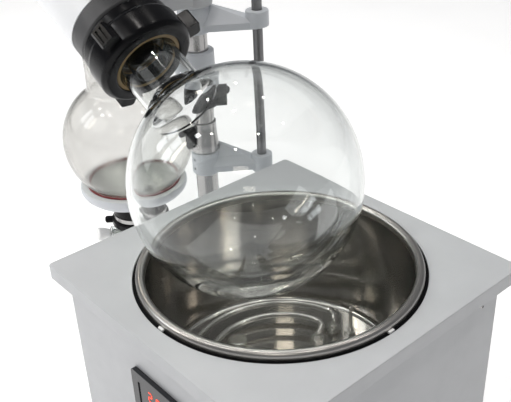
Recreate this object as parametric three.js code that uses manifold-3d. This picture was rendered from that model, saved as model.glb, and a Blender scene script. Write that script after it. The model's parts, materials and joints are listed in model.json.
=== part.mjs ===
// Rotary evaporator with a 10 litre flask over a round heating bath.
// Millimetres, +Z up, control panel facing -Y. All heights below are measured from the
// cabinet's top plate (z = 0); the finished model is shifted so that its origin is the
// bottom centre of its bounding box.
import * as THREE from "three";
import { ConvexGeometry } from "three/addons/geometries/ConvexGeometry.js";
import { mergeVertices } from "three/addons/utils/BufferGeometryUtils.js";
import Module from "manifold-3d";

const wasm = await Module();
wasm.setup();

// ---------- driving dimensions ----------
const GAP = 0.3;                       // clearance between neighbouring pieces
const HEIGHT = 380;                    // top plate above the table
const PLATE = 400;                     // side of the square top plate
const LIP = 19;                        // folded edge of the top plate
const SHEET = 2;                       // sheet-metal thickness
const HOLE_R = 175;                    // hole in the top plate
const BODY = 368.8;                    // side of the cabinet's body
const FOOT_H = 18;
const BASE_H = 20;
const WING = { x0: -430, x1: -180, y0: 50, y1: 250 };   // base under the column

const POT_R = 160;                     // inside of the bath
const POT_DEPTH = 168;
const RIM_R = 171;                     // outside of the rolled rim
const COIL_Z = -147;
const COIL_OUT = 122;
const COIL_IN = 95;

const COLUMN = { x: -328, y: 142, r: 18, top: 500 };
const ROD = { x: -268, y: 211, r: 7.5, top: 500 };

const AXIS_Y = -5;                     // vertical plane that holds the flask's axis
const AXIS_TILT = 29;                  // degrees above the horizontal, towards -X
const FLASK = { x: -49.6, z: 98, r: 139, wall: 4, neck: 40, flange: 56 };
const SPINDLE_R = 38;
const SPINDLE_BORE = 30;
const BARREL_R = 62;
const BARREL_END = 430;                // distances along the axis, from the flask's centre
const CASING_END = 470;
const VAPOUR_R = 24;
const VAPOUR_WALL = 3;
const VAPOUR_END = 488;
const MOTOR_OFFSET = 115;              // motor shaft above the flask's axis
const SPINDLE_PULLEY_R = 50;
const MOTOR_PULLEY_R = 20;

const RECEIVER = { x: -592, y: 162, z: -82, r: 115, wall: 4, neck: 58 };
const FLANGE_R = 75;
const JOINT_Z = 140;                   // face between receiver and condenser
const CONDENSER_TOP = 560;
const SIDE_PORT_Z = 385;
const VALVE_DIR = new THREE.Vector3(-0.286, -0.939, 0.199).normalize();
const VALVE_Z = -285;

const PANEL = { x0: -48, x1: 112, z0: -183, z1: -73, depth: 6 };
const KNOB = { x: 84, z: -106 };
const SWITCH = { x: 84, z: -158 };
const KEY_X = [-30, 2];
const KEY_Z = -160;

// ---------- helpers ----------
const rad = THREE.MathUtils.degToRad;

function withoutSlivers(geometry) {
  const plain = new THREE.BufferGeometry();
  plain.setAttribute("position", geometry.getAttribute("position").clone());
  if (geometry.index) plain.setIndex(geometry.index.clone());
  const merged = mergeVertices(plain, 1e-4);
  const ids = merged.index.array;
  const kept = [];
  for (let i = 0; i < ids.length; i += 3) {
    const [a, b, c] = [ids[i], ids[i + 1], ids[i + 2]];
    if (a !== b && b !== c && c !== a) kept.push(a, b, c);
  }
  merged.setIndex(kept);
  return merged;
}

function signedVolume(geometry) {
  const pos = geometry.getAttribute("position");
  const ids = geometry.index.array;
  const [a, b, c] = [new THREE.Vector3(), new THREE.Vector3(), new THREE.Vector3()];
  let sum = 0;
  for (let i = 0; i < ids.length; i += 3) {
    a.fromBufferAttribute(pos, ids[i]);
    b.fromBufferAttribute(pos, ids[i + 1]);
    c.fromBufferAttribute(pos, ids[i + 2]);
    sum += a.dot(b.cross(c));
  }
  return sum;
}

function facingOut(geometry) {
  const clean = withoutSlivers(geometry);
  if (signedVolume(clean) < 0) {
    const ids = clean.index.array;
    for (let i = 0; i < ids.length; i += 3) [ids[i], ids[i + 1]] = [ids[i + 1], ids[i]];
  }
  return clean;
}

function toManifold(geometry) {
  const clean = facingOut(geometry);
  return new wasm.Manifold(new wasm.Mesh({
    numProp: 3,
    vertProperties: new Float32Array(clean.getAttribute("position").array),
    triVerts: new Uint32Array(clean.index.array),
  }));
}

function fromManifold(manifold) {
  const mesh = manifold.getMesh();
  const geometry = new THREE.BufferGeometry();
  geometry.setAttribute("position", new THREE.BufferAttribute(mesh.vertProperties, 3));
  geometry.setIndex(new THREE.BufferAttribute(mesh.triVerts, 1));
  return geometry;
}

function join(...parts) {
  return fromManifold(parts.map(toManifold).reduce((sum, part) => sum.add(part)));
}

function cut(body, ...tools) {
  return fromManifold(tools.map(toManifold).reduce((rest, tool) => rest.subtract(tool), toManifold(body)));
}

// Body of revolution about Z from [radius, height] points.
function turned(profile, segments = 24) {
  const points = profile.map(([r, h]) => new THREE.Vector2(r, h));
  return facingOut(new THREE.LatheGeometry(points, segments).rotateX(Math.PI / 2));
}

function ring(inner, outer, z0, z1, segments = 24) {
  return turned([[inner, z0], [outer, z0], [outer, z1], [inner, z1], [inner, z0]], segments);
}

function rod(r, z0, z1, segments = 18) {
  return turned([[0, z0], [r, z0], [r, z1], [0, z1]], segments);
}

function block(x0, x1, y0, y1, z0, z1) {
  const geometry = new THREE.BoxGeometry(x1 - x0, y1 - y0, z1 - z0);
  return geometry.translate((x0 + x1) / 2, (y0 + y1) / 2, (z0 + z1) / 2);
}

function hexagon(r, z0, z1) {
  return rod(r, z0, z1, 6);
}

// Points of a circular arc, in degrees, as [x, y].
function arc(cx, cy, r, from, to, steps) {
  const points = [];
  for (let i = 0; i <= steps; i += 1) {
    const a = rad(from + ((to - from) * i) / steps);
    points.push([cx + r * Math.cos(a), cy + r * Math.sin(a)]);
  }
  return points;
}

function roundedRectangle(x0, x1, y0, y1, r, Kind = THREE.Shape) {
  const outline = [
    ...arc(x1 - r, y0 + r, r, -90, 0, 3),
    ...arc(x1 - r, y1 - r, r, 0, 90, 3),
    ...arc(x0 + r, y1 - r, r, 90, 180, 3),
    ...arc(x0 + r, y0 + r, r, 180, 270, 3),
  ];
  return new Kind(outline.map(([x, y]) => new THREE.Vector2(x, y)));
}

function circleHole(x, y, r, steps = 32) {
  const points = arc(x, y, r, 0, 360 - 360 / steps, steps - 1);
  return new THREE.Path(points.map(([px, py]) => new THREE.Vector2(px, py)));
}

// Outline that wraps two circles, the larger one at (0, 0) and the other at (distance, 0).
function wrapOutline(r0, r1, distance, steps = 10, Kind = THREE.Shape) {
  const lean = THREE.MathUtils.radToDeg(Math.acos((r0 - r1) / distance));
  const points = [
    ...arc(0, 0, r0, lean, 360 - lean, steps),
    ...arc(distance, 0, r1, -lean, lean, steps),
  ];
  return new Kind(points.map(([x, y]) => new THREE.Vector2(x, y)));
}

function plateOf(shape, z0, z1) {
  const geometry = new THREE.ExtrudeGeometry(shape, { depth: z1 - z0, bevelEnabled: false });
  return geometry.translate(0, 0, z0);
}

// A panel drawn in X and Z, extruded towards -Y from y.
function uprightPanel(shape, y, depth) {
  const geometry = new THREE.ExtrudeGeometry(shape, { depth, bevelEnabled: false });
  return geometry.rotateX(Math.PI / 2).translate(0, y, 0);
}

function alongCurve(points, outer, inner, sides, steps) {
  const curve = new THREE.CatmullRomCurve3(points, false, "centripetal");
  const section = new THREE.Shape(
    arc(0, 0, outer, 0, 360 - 360 / sides, sides - 1).map(([x, y]) => new THREE.Vector2(x, y)));
  if (inner > 0) section.holes.push(circleHole(0, 0, inner, sides));
  return facingOut(new THREE.ExtrudeGeometry(section, { steps, bevelEnabled: false, extrudePath: curve }));
}

// Moves a body built along +Z so that it starts at a point and runs along a direction.
function aimed(geometry, start, direction) {
  const up = new THREE.Vector3(0, 0, 1);
  const turn = new THREE.Quaternion().setFromUnitVectors(up, direction.clone().normalize());
  return geometry.applyQuaternion(turn).translate(start.x, start.y, start.z);
}

function finish(color, roughness, metalness, opacity = 1) {
  const transparent = opacity < 1;
  return new THREE.MeshStandardMaterial({ color, roughness, metalness, opacity, transparent });
}

const FINISHES = {
  whitePaint: () => finish(0xd2d4d6, 0.45, 0.05),
  greyPaint: () => finish(0xa9afb4, 0.45, 0.1),
  darkPaint: () => finish(0x47474a, 0.6, 0.1),
  black: () => finish(0x111114, 0.35, 0.0),
  rubber: () => finish(0x18181a, 0.8, 0.0),
  steel: () => finish(0xb9b6b0, 0.2, 1.0),
  chrome: () => finish(0xd8d8dc, 0.1, 1.0),
  glass: () => finish(0xdfe8e2, 0.05, 0.0, 0.35),
  gasket: () => finish(0x7c3038, 0.6, 0.0),
  amber: () => finish(0x9a7a2a, 0.5, 0.0),
  ptfe: () => finish(0xf2f2f2, 0.5, 0.0),
  gloss: () => finish(0x17181c, 0.08, 0.0),
};

const model = new THREE.Group();

function add(parent, name, geometry, material) {
  const mesh = new THREE.Mesh(facingOut(geometry), FINISHES[material]());
  mesh.name = name;
  parent.add(mesh);
}

// ---------- stand and cabinet ----------
const FLOOR = -HEIGHT;
const BASE_Z0 = FLOOR + FOOT_H;
const BASE_Z1 = BASE_Z0 + BASE_H;
const BODY_Z0 = BASE_Z1 + GAP;
const BODY_HALF = BODY / 2;

function baseFrame() {
  const half = 190;
  const wall = 3;
  const tray = (grow, z0, z1) => join(
    plateOf(roundedRectangle(-half - grow, half + grow, -half - grow, half + grow, 8), z0, z1),
    plateOf(roundedRectangle(WING.x0 - grow, WING.x1 + grow, WING.y0 - grow, WING.y1 + grow, 8), z0, z1));
  const socketTop = BASE_Z1 + 34;
  const socket = ring(COLUMN.r + 0.4, 32, BASE_Z1 - 1, socketTop).translate(COLUMN.x, COLUMN.y, 0);
  return join(cut(tray(0, BASE_Z0, BASE_Z1), tray(-wall, BASE_Z0 - 1, BASE_Z1 - wall)), socket);
}

function foot() {
  return turned([[0, FLOOR], [15, FLOOR], [17, FLOOR + 3], [14, BASE_Z0 - GAP], [0, BASE_Z0 - GAP]], 16);
}

function cabinetBody() {
  const outline = roundedRectangle(-BODY_HALF, BODY_HALF, -BODY_HALF, BODY_HALF, 4);
  const inner = BODY_HALF - SHEET;
  outline.holes.push(roundedRectangle(-inner, inner, -inner, inner, 3, THREE.Path));
  return plateOf(outline, BODY_Z0, -SHEET - GAP);
}

function cabinetTop() {
  const half = PLATE / 2;
  const inner = half - SHEET;
  return cut(
    plateOf(roundedRectangle(-half, half, -half, half, 5), -LIP, 0),
    plateOf(roundedRectangle(-inner, inner, -inner, inner, 4), -LIP - 1, -SHEET),
    rod(HOLE_R, -LIP, 1, 32));
}

const SEAL_R = HOLE_R - 0.4;

function rimSeal() {
  return ring(163, SEAL_R, -12, -1.3, 32);
}

function rimTab(index) {
  const tab = block(RIM_R + 0.3, SEAL_R, -4, 4, -1, 1.8);
  return tab.rotateZ(rad(90 * index));
}

function bathPot() {
  const wall = 1.6;
  const corner = 8;
  const beadR = (RIM_R - POT_R) / 2;
  const beadX = POT_R + beadR;
  const beadZ = 3;
  const floor = -POT_DEPTH;
  const inside = [
    [0, floor],
    ...arc(POT_R - corner, floor + corner, corner, -90, 0, 2),
    ...arc(beadX, beadZ, beadR, 180, 0, 4),
    [RIM_R, -1],
  ];
  const outside = [
    [RIM_R - wall, -1],
    ...arc(beadX, beadZ, beadR - wall, 0, 180, 3),
    ...arc(POT_R - corner, floor + corner, corner + wall, 0, -90, 2),
    [0, floor - wall],
  ];
  return turned([...inside, ...outside], 32);
}

function heaterCoil() {
  const points = [
    new THREE.Vector3(-14, 110, -164),
    new THREE.Vector3(-14, 110, -155),
    new THREE.Vector3(-19, 115, -149.5),
  ];
  const rise = (r, from, to, steps) => arc(0, 0, r, from, to, steps)
    .forEach(([x, y]) => points.push(new THREE.Vector3(x, y, COIL_Z)));
  rise(COIL_OUT, 106, 368, 20);
  const middle = (COIL_OUT + COIL_IN) / 2;
  points.push(new THREE.Vector3(middle * Math.cos(rad(16)), middle * Math.sin(rad(16)), COIL_Z));
  rise(COIL_IN, 368, 106, 18);
  points.push(new THREE.Vector3(-17, 83, -149.5));
  points.push(new THREE.Vector3(-12, 76, -155));
  points.push(new THREE.Vector3(-12, 76, -164));
  const nuts = [[-14, 110], [-12, 76]]
    .map(([x, y]) => hexagon(9.5, -POT_DEPTH + 0.4, -159.5).translate(x, y, 0));
  return join(alongCurve(points, 4, 0, 6, 50), ...nuts);
}

function temperatureProbe() {
  return join(
    hexagon(8.5, -POT_DEPTH + 0.4, -160.5),
    rod(2.6, -162, -121, 12)).translate(7, 120, 0);
}

function drainStrainer() {
  const top = -POT_DEPTH + 6;
  return cut(
    turned([[0, -POT_DEPTH + 0.4], [13, -POT_DEPTH + 0.4], [13, top - 1.5], [11, top], [0, top]], 16),
    block(-9, 9, -1.6, 1.6, top - 2.5, top + 1),
    block(-1.6, 1.6, -9, 9, top - 2.5, top + 1)).translate(-87, -2, 0);
}

function controlFascia() {
  const shape = roundedRectangle(PANEL.x0, PANEL.x1, PANEL.z0, PANEL.z1, 4);
  const window = (x, z, halfX, halfZ) => roundedRectangle(
    x - halfX, x + halfX, z - halfZ, z + halfZ, 1, THREE.Path);
  KEY_X.forEach((x) => shape.holes.push(window(x, KEY_Z, 9, 5.5)));
  shape.holes.push(window(SWITCH.x, SWITCH.z, 12, 7));
  shape.holes.push(circleHole(KNOB.x, KNOB.z, 4, 16));
  return uprightPanel(shape, -BODY_HALF - GAP, PANEL.depth);
}

const PANEL_FRONT = -BODY_HALF - GAP - PANEL.depth;

function pushKey(x) {
  return block(x - 8.5, x + 8.5, PANEL_FRONT - 2.4, PANEL_FRONT + 3.6, KEY_Z - 5, KEY_Z + 5);
}

function rockerSwitch() {
  const r = 6.5;
  const clearance = 0.5;
  const barrel = rod(r, -11.5, 11.5, 16).rotateY(Math.PI / 2);
  return barrel.translate(SWITCH.x, -BODY_HALF - clearance - r, SWITCH.z);
}

function speedKnob() {
  const knob = turned([
    [0, -3], [3.6, -3], [3.6, 0.4], [15, 0.4], [15, 4], [13, 5], [12, 15], [10.5, 16.5], [0, 16.5],
  ], 20);
  const pointer = block(-1, 1, 6, 12.8, 5, 17.2);
  return join(knob, pointer).rotateX(Math.PI / 2).translate(KNOB.x, PANEL_FRONT, KNOB.z);
}

function mainsInlet() {
  const back = BODY_HALF + GAP;
  const at = { x: -60, z: -300 };
  return cut(
    block(at.x - 18, at.x + 18, back, back + 14, at.z - 13, at.z + 13),
    block(at.x - 13, at.x + 13, back + 3, back + 15, at.z - 8.5, at.z + 8.5));
}

// ---------- column, rod and brackets ----------
function column() {
  const bottom = BASE_Z1 + GAP;
  return turned([
    [0, COLUMN.top], [COLUMN.r - 1.5, COLUMN.top], [COLUMN.r, COLUMN.top - 1.5], [COLUMN.r, bottom],
    [COLUMN.r - 3, bottom], [COLUMN.r - 3, COLUMN.top - 4], [0, COLUMN.top - 4],
  ], 24).translate(COLUMN.x, COLUMN.y, 0);
}

function guideRod() {
  return turned([
    [0, -50], [ROD.r, -50], [ROD.r, ROD.top - 1], [ROD.r - 1, ROD.top], [0, ROD.top],
  ], 16).translate(ROD.x, ROD.y, 0);
}

// Cast web between two bosses: a flat foot with a ridge that falls towards the smaller boss.
function ribbedWeb(reach, base, ridge) {
  const [flange, wide, narrow, ridgeY] = [10, 20, 13, 11];
  const corners = [[0, -wide], [0, wide], [reach, -narrow], [reach, narrow]];
  const points = corners.flatMap(([x, y]) => [
    new THREE.Vector3(x, y, base), new THREE.Vector3(x, y, base + flange)]);
  points.push(new THREE.Vector3(0, ridgeY, ridge[0]), new THREE.Vector3(reach, ridgeY, ridge[1]));
  return new ConvexGeometry(points);
}

// Cast bracket: a boss on the column, a boss on the rod and a ribbed web between them.
function bracket({ onColumn, onRod, base, ridge, neighbourR }, clearance) {
  const reach = Math.hypot(ROD.x - COLUMN.x, ROD.y - COLUMN.y);
  const heading = Math.atan2(ROD.y - COLUMN.y, ROD.x - COLUMN.x);
  const boss = (r, [z0, z1]) => turned([
    [0, z0], [r - 1.5, z0], [r, z0 + 1.5], [r, z1 - 2], [r - 2, z1], [0, z1],
  ], 20);
  const solid = join(
    boss(23, onColumn), boss(17, onRod).translate(reach, 0, 0), ribbedWeb(reach, base, ridge));
  return cut(
    solid,
    rod(neighbourR, onColumn[1], onColumn[1] + 40, 24),
    rod(COLUMN.r + clearance, onColumn[0] - 5, onColumn[1] + 5, 24),
    rod(ROD.r + clearance, onRod[0] - 5, onRod[1] + 5, 16).translate(reach, 0, 0),
  ).rotateZ(heading).translate(COLUMN.x, COLUMN.y, 0);
}

const LOWER_BRACKET = {
  onColumn: [-44.5, -6.5], onRod: [-46, -16.5], base: -40, ridge: [13, -36], neighbourR: 24,
};
const TOP_BRACKET = {
  onColumn: [181, 220], onRod: [186, 210], base: 184.5, ridge: [226, 197], neighbourR: 30,
};

function lowerBracket() {
  const screwHole = (z) => rod(2.2, 0, 6, 8).rotateX(Math.PI / 2)
    .translate(COLUMN.x, COLUMN.y - 19.5, z);
  return cut(bracket(LOWER_BRACKET, 0.4), screwHole(-18), screwHole(-34));
}

function topBracket() {
  return bracket(TOP_BRACKET, 0.5);
}

function stopCollar() {
  const bore = COLUMN.r + 0.4;
  return turned([
    [bore, -6.2], [21, -6.2], [22.5, -4], [22.5, 12], [20.5, 28], [20.5, 46], [bore, 46], [bore, -6.2],
  ], 24).translate(COLUMN.x, COLUMN.y, 0);
}

const COLLAR_LEVER_Z = 36;

// Quick-release lever of the stop collar: a round stem with a paddle that hangs from it.
function collarLever() {
  const stem = turned([[0, 0], [5.5, 0], [5.5, 25], [4, 28], [0, 28]], 14);
  const [drop, half] = [24, 7];
  const paddle = join(
    block(-half, half, -drop, 0, 3, 12),
    rod(half, 3, 12, 16).translate(0, -drop, 0));
  return join(stem, paddle).rotateX(Math.PI / 2).translate(COLUMN.x, COLUMN.y - 21, COLLAR_LEVER_Z);
}

const EAR_HEADING = 50;                // degrees from +X in plan
const EAR_X = 36;                      // clamp screw's distance from the column's axis
const CLAMP_SCREW_Z = 93;

function liftClamp() {
  const [z0, z1] = [74, 111.7];
  const body = turned([[0, z0], [25, z0], [27, z0 + 3], [27, z1 - 3], [25, z1], [0, z1]], 24);
  const ear = block(20, 40, -11, 11, z0 + 1, z1 - 2);
  const slit = block(17, 50, -1, 1, z0 - 5, z1 + 5);
  const bore = rod(COLUMN.r + 0.5, z0 - 5, z1 + 5, 24);
  return cut(join(body, ear), bore, slit).rotateZ(rad(EAR_HEADING)).translate(COLUMN.x, COLUMN.y, 0);
}

function clampKnob() {
  return turned([[0, 11.4], [5, 11.4], [5, 14], [8, 15], [8.5, 17], [8.5, 25], [7, 27], [0, 27]], 16)
    .rotateX(-Math.PI / 2).translate(EAR_X, 0, CLAMP_SCREW_Z).rotateZ(rad(EAR_HEADING))
    .translate(COLUMN.x, COLUMN.y, 0);
}

// Arm from the column to the condenser's neck, with a step up over the flange clamp.
function condenserArm() {
  const [z0, z1] = [112, 154];
  const low = [120, 146];
  const high = [JOINT_Z + 17, JOINT_Z + 43];
  const reach = Math.hypot(RECEIVER.x - COLUMN.x, RECEIVER.y - COLUMN.y);
  const heading = Math.atan2(RECEIVER.y - COLUMN.y, RECEIVER.x - COLUMN.x);
  const neck = RECEIVER.neck + 0.8;
  const hoopR = RECEIVER.neck + 13;
  const [riser0, riser1] = [reach - 112, reach - 90];
  const lug = block(reach + hoopR - 4, reach + hoopR + 16, -12, 12, high[0] + 2, high[1] - 2);
  const solid = join(
    rod(26.5, z0, z1, 24),
    block(15, riser1, -11, 11, ...low),
    block(riser0, riser1, -11, 11, low[0], high[1]),
    block(riser0, reach - neck, -11, 11, ...high),
    rod(hoopR, ...high, 28).translate(reach, 0, 0),
    lug);
  return cut(
    solid,
    rod(COLUMN.r + 0.5, z0 - 5, z1 + 5, 24),
    rod(neck, high[0] - 5, high[1] + 5, 28).translate(reach, 0, 0),
    block(reach + 50, reach + hoopR + 20, -2, 2, high[0] - 5, high[1] + 5),
  ).rotateZ(heading).translate(COLUMN.x, COLUMN.y, 0);
}

// ---------- drive head, built along its own axis ----------
const head = new THREE.Group();
head.position.set(FLASK.x, AXIS_Y, FLASK.z);
head.rotation.y = rad(AXIS_TILT - 90);
const AXIS_DIR = new THREE.Vector3(-Math.cos(rad(AXIS_TILT)), 0, Math.sin(rad(AXIS_TILT)));

function axisPoint(t) {
  return new THREE.Vector3(FLASK.x, AXIS_Y, FLASK.z).addScaledVector(AXIS_DIR, t);
}

function headMount() {
  const [z0, z1] = [220.3, 300];
  const boss = turned([[0, z0], [26, z0], [29, z0 + 4], [29, z1 - 4], [26, z1], [0, z1]], 24)
    .translate(COLUMN.x, COLUMN.y, 0);
  const neck = block(COLUMN.x - 24, COLUMN.x + 24, 58, COLUMN.y - 10, z0 + 6, z1 - 6);
  const saddle = block(COLUMN.x - 42, COLUMN.x + 38, 34, 72, z0 + 2, z1 - 4);
  const barrel = aimed(rod(BARREL_R + GAP + 0.3, 0, 300, 40), axisPoint(180), AXIS_DIR);
  const bore = rod(COLUMN.r + 0.5, z0 - 5, z1 + 5, 24).translate(COLUMN.x, COLUMN.y, 0);
  return cut(join(boss, neck, saddle), barrel, bore);
}

function headBarrel() {
  return ring(56, BARREL_R, 286.3, BARREL_END, 32);
}

function headRing() {
  return turned([[45, 259], [59, 259], [61.5, 262], [61.5, 286], [45, 286], [45, 259]], 32);
}

function bearing(t) {
  return ring(SPINDLE_R + 0.5, 55.6, t, t + 18, 24);
}

function spindle() {
  return turned([
    [SPINDLE_BORE, 228], [FLASK.flange, 228], [FLASK.flange, 238], [SPINDLE_R, 240],
    [SPINDLE_R, 462], [SPINDLE_BORE, 462], [SPINDLE_BORE, 228],
  ], 24);
}

function pulley(bore, r, depth) {
  return [
    [bore, 438], [r, 438], [r, 442.4], [r - depth, 442.4], [r - depth, 451.6], [r, 451.6],
    [r, 456], [bore, 456],
  ];
}

function spindlePulley() {
  const profile = pulley(SPINDLE_R + GAP, SPINDLE_PULLEY_R, 5);
  return turned([...profile, profile[0]], 24);
}

function motorPulley() {
  const outline = pulley(0, MOTOR_PULLEY_R, 5).slice(1);
  return turned([[0, 419], [6, 419], [6, 438], ...outline], 16).translate(MOTOR_OFFSET, 0, 0);
}

function driveBelt() {
  const outline = wrapOutline(SPINDLE_PULLEY_R + 1, MOTOR_PULLEY_R + 1, MOTOR_OFFSET);
  outline.holes.push(
    wrapOutline(SPINDLE_PULLEY_R - 3.4, MOTOR_PULLEY_R - 3.4, MOTOR_OFFSET, 10, THREE.Path));
  return plateOf(outline, 443, 451);
}

function driveCasing() {
  const wall = 3;
  const front = BARREL_END + GAP;
  return cut(
    plateOf(wrapOutline(70, 46, MOTOR_OFFSET, 12), front, CASING_END),
    plateOf(wrapOutline(70 - wall, 46 - wall, MOTOR_OFFSET, 12), front + wall, CASING_END + 1),
    rod(SPINDLE_R + 2, front - 1, front + wall + 1, 24),
    rod(8, front - 1, front + wall + 1, 12).translate(MOTOR_OFFSET, 0, 0));
}

function casingCover() {
  const z0 = CASING_END + GAP;
  const plate = plateOf(wrapOutline(70, 46, MOTOR_OFFSET, 12), z0, z0 + 4);
  return cut(join(plate, rod(34, z0 + 3, z0 + 12, 24)), rod(VAPOUR_R + 0.6, z0 - 5, z0 + 20, 24));
}

function driveMotor() {
  const end = BARREL_END;
  const can = turned([
    [0, 302], [30, 302], [36, 306], [38, 312], [38, end - 12], [34, end - 8], [34, end], [0, end],
  ], 20);
  return cut(can, rod(6.6, 417, end + 5, 12)).translate(MOTOR_OFFSET, 0, 0);
}

function vapourTube() {
  return ring(VAPOUR_R - VAPOUR_WALL, VAPOUR_R, 196, VAPOUR_END, 20);
}

// Round flask with a straight neck and a flared flange; the mouth is open.
function evaporatingFlask() {
  const { r, wall, neck, flange } = FLASK;
  const fillet = 16;
  const join0 = THREE.MathUtils.radToDeg(Math.acos((neck + fillet) / (r + fillet)));
  const turnAt = Math.sqrt((r + fillet) ** 2 - (neck + fillet) ** 2);
  const outside = [
    ...arc(0, 0, r, -90, join0, 10),
    ...arc(neck + fillet, turnAt, fillet, 180 + join0, 180, 3).slice(1),
    [neck, 207], [neck + 4, 210.5], [flange - 6, 212.8], [flange, 214.5], [flange, 224],
  ];
  const innerR = r - wall;
  const innerNeck = neck - wall;
  const meet = THREE.MathUtils.radToDeg(Math.acos(innerNeck / innerR));
  const inside = [[innerNeck, 224], [innerNeck, 170], ...arc(0, 0, innerR, meet, -90, 10)];
  return turned([[0, -r], ...outside.slice(1), ...inside.slice(0, -1), [0, -innerR]], 24);
}

function flaskGasket() {
  return ring(FLASK.neck - 3, FLASK.flange - 0.5, 224.3, 227.7, 24);
}

const LUG_HEADING = 68;                // first wing, degrees from the head's upward side

function flaskNut() {
  const sleeve = turned([
    [46.6, 203], [61, 203], [66, 208], [66, 240], [63, 243], [63, 257], [57, 257], [57, 212],
    [49, 212], [46.6, 210], [46.6, 203],
  ], 24);
  const lugs = [0, 1, 2].map((index) => cut(
    block(60, 83, -11, 11, 212, 238),
    block(74, 84, -6.5, -3.5, 216, 234),
    block(74, 84, 3.5, 6.5, 216, 234),
    rod(59, 205, 245, 24),
  ).rotateZ(rad(LUG_HEADING + 120 * index)));
  return join(sleeve, ...lugs);
}

// ---------- condenser and receiver ----------
const portHeading = Math.atan2(AXIS_Y - RECEIVER.y, axisPoint(VAPOUR_END).x - RECEIVER.x);
const PORT_DIR = new THREE.Vector3(Math.cos(portHeading), Math.sin(portHeading), 0);
const PORT_REACH = RECEIVER.neck + 24;

function atCondenser(geometry) {
  return geometry.translate(RECEIVER.x, RECEIVER.y, 0);
}

function vapourElbow() {
  const end = new THREE.Vector3(RECEIVER.x, RECEIVER.y, SIDE_PORT_Z)
    .addScaledVector(PORT_DIR, PORT_REACH + 1);
  const lead = 10;
  const bend = new THREE.CubicBezierCurve3(
    axisPoint(VAPOUR_END + 2 * lead), axisPoint(VAPOUR_END + 65),
    end.clone().addScaledVector(PORT_DIR, 60), end.clone().addScaledVector(PORT_DIR, 2 * lead));
  const points = [
    axisPoint(VAPOUR_END + 1), axisPoint(VAPOUR_END + lead), ...bend.getPoints(6),
    end.clone().addScaledVector(PORT_DIR, lead), end,
  ];
  return alongCurve(points, VAPOUR_R, VAPOUR_R - VAPOUR_WALL, 14, 12);
}

function condenserJacket() {
  const wall = 4;
  const outer = RECEIVER.neck;
  const z0 = JOINT_Z + GAP;
  const tube = turned([
    [outer - wall, z0], [FLANGE_R, z0], [FLANGE_R, z0 + 8], [outer, z0 + 13],
    [outer, CONDENSER_TOP - 12], [FLANGE_R - 6, CONDENSER_TOP - 7], [FLANGE_R - 6, CONDENSER_TOP],
    [outer - wall, CONDENSER_TOP], [outer - wall, z0],
  ], 24);
  const axis = new THREE.Vector3(0, 0, SIDE_PORT_Z);
  const stub = aimed(rod(VAPOUR_R, 50, PORT_REACH, 16), axis, PORT_DIR);
  const bore = aimed(rod(VAPOUR_R - VAPOUR_WALL, 48, PORT_REACH + 5, 16), axis, PORT_DIR);
  const core = rod(outer - wall, z0 - 5, CONDENSER_TOP + 5, 24);
  return atCondenser(cut(join(tube, stub), bore, core));
}

function condenserCoil() {
  const [r, top, bottom, turns] = [40, 520, 185, 8];
  const perTurn = 10;
  const points = [new THREE.Vector3(r, 0, CONDENSER_TOP - 3), new THREE.Vector3(r, 0, top + 16)];
  for (let i = 0; i <= turns * perTurn; i += 1) {
    const a = rad((360 / perTurn) * i);
    const z = top + ((bottom - top) * i) / (turns * perTurn);
    points.push(new THREE.Vector3(r * Math.cos(a), r * Math.sin(a), z));
  }
  points.push(new THREE.Vector3(24, 14, bottom - 14), new THREE.Vector3(4, 4, bottom - 8));
  [bottom + 20, 350, CONDENSER_TOP - 3].forEach((z) => points.push(new THREE.Vector3(0, 0, z)));
  return atCondenser(alongCurve(points, 5, 0, 5, 90));
}

function condenserCap() {
  const z = CONDENSER_TOP + GAP;
  const lid = turned([
    [0, z], [FLANGE_R - 6, z], [FLANGE_R - 6, z + 8], [60, z + 12], [30, z + 26], [14, z + 30],
    [10, z + 32], [10, z + 52], [12, z + 54], [12, z + 58], [0, z + 58],
  ], 18);
  const hose = (x, lean) => turned([[0, 0], [7, 0], [6, 26], [7.5, 30], [5.5, 36], [0, 36]], 8)
    .rotateY(rad(lean)).translate(x, 0, z + 16);
  return atCondenser(join(lid, hose(40, 35), hose(-40, -35)));
}

function receiverFlask() {
  const { r, wall, neck, z } = RECEIVER;
  const fillet = 12;
  const outlet = 16;
  const leave = THREE.MathUtils.radToDeg(Math.acos(outlet / r));
  const start = THREE.MathUtils.radToDeg(Math.acos((neck + fillet) / (r + fillet)));
  const turnAt = z + Math.sqrt((r + fillet) ** 2 - (neck + fillet) ** 2);
  const innerR = r - wall;
  const innerLeave = THREE.MathUtils.radToDeg(Math.acos((outlet - wall) / innerR));
  const innerMeet = THREE.MathUtils.radToDeg(Math.acos((neck - wall) / innerR));
  const profile = [
    [outlet, -214], ...arc(0, z, r, -leave, start, 10),
    ...arc(neck + fillet, turnAt, fillet, 180 + start, 180, 3).slice(1),
    [neck, JOINT_Z - 13], [FLANGE_R, JOINT_Z - 8], [FLANGE_R, JOINT_Z], [neck - wall, JOINT_Z],
    ...arc(0, z, innerR, innerMeet, -innerLeave, 9), [outlet - wall, -214],
  ];
  return atCondenser(turned([...profile, profile[0]], 24));
}

function receiverClamp() {
  const [lip, seat, outer] = [66, FLANGE_R + 0.6, 84];
  const [z0, z1] = [JOINT_Z - 13.5, JOINT_Z + 13.8];
  const band = turned([
    [lip + 2, z0], [outer - 2, z0], [outer, z0 + 2], [outer, z1 - 2], [outer - 2, z1], [lip + 2, z1],
    [seat, JOINT_Z + 9], [seat, JOINT_Z - 8.7], [lip + 2, z0],
  ], 28);
  const ear = block(outer - 3, outer + 18, -13, 13, z0 + 4, z1 - 4);
  const split = block(60, outer + 30, -3, 3, z0 - 1, z1 + 1);
  return atCondenser(cut(join(band, ear), split, rod(seat, z0 + 5, z1 - 5, 28)).rotateZ(rad(150)));
}

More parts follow.
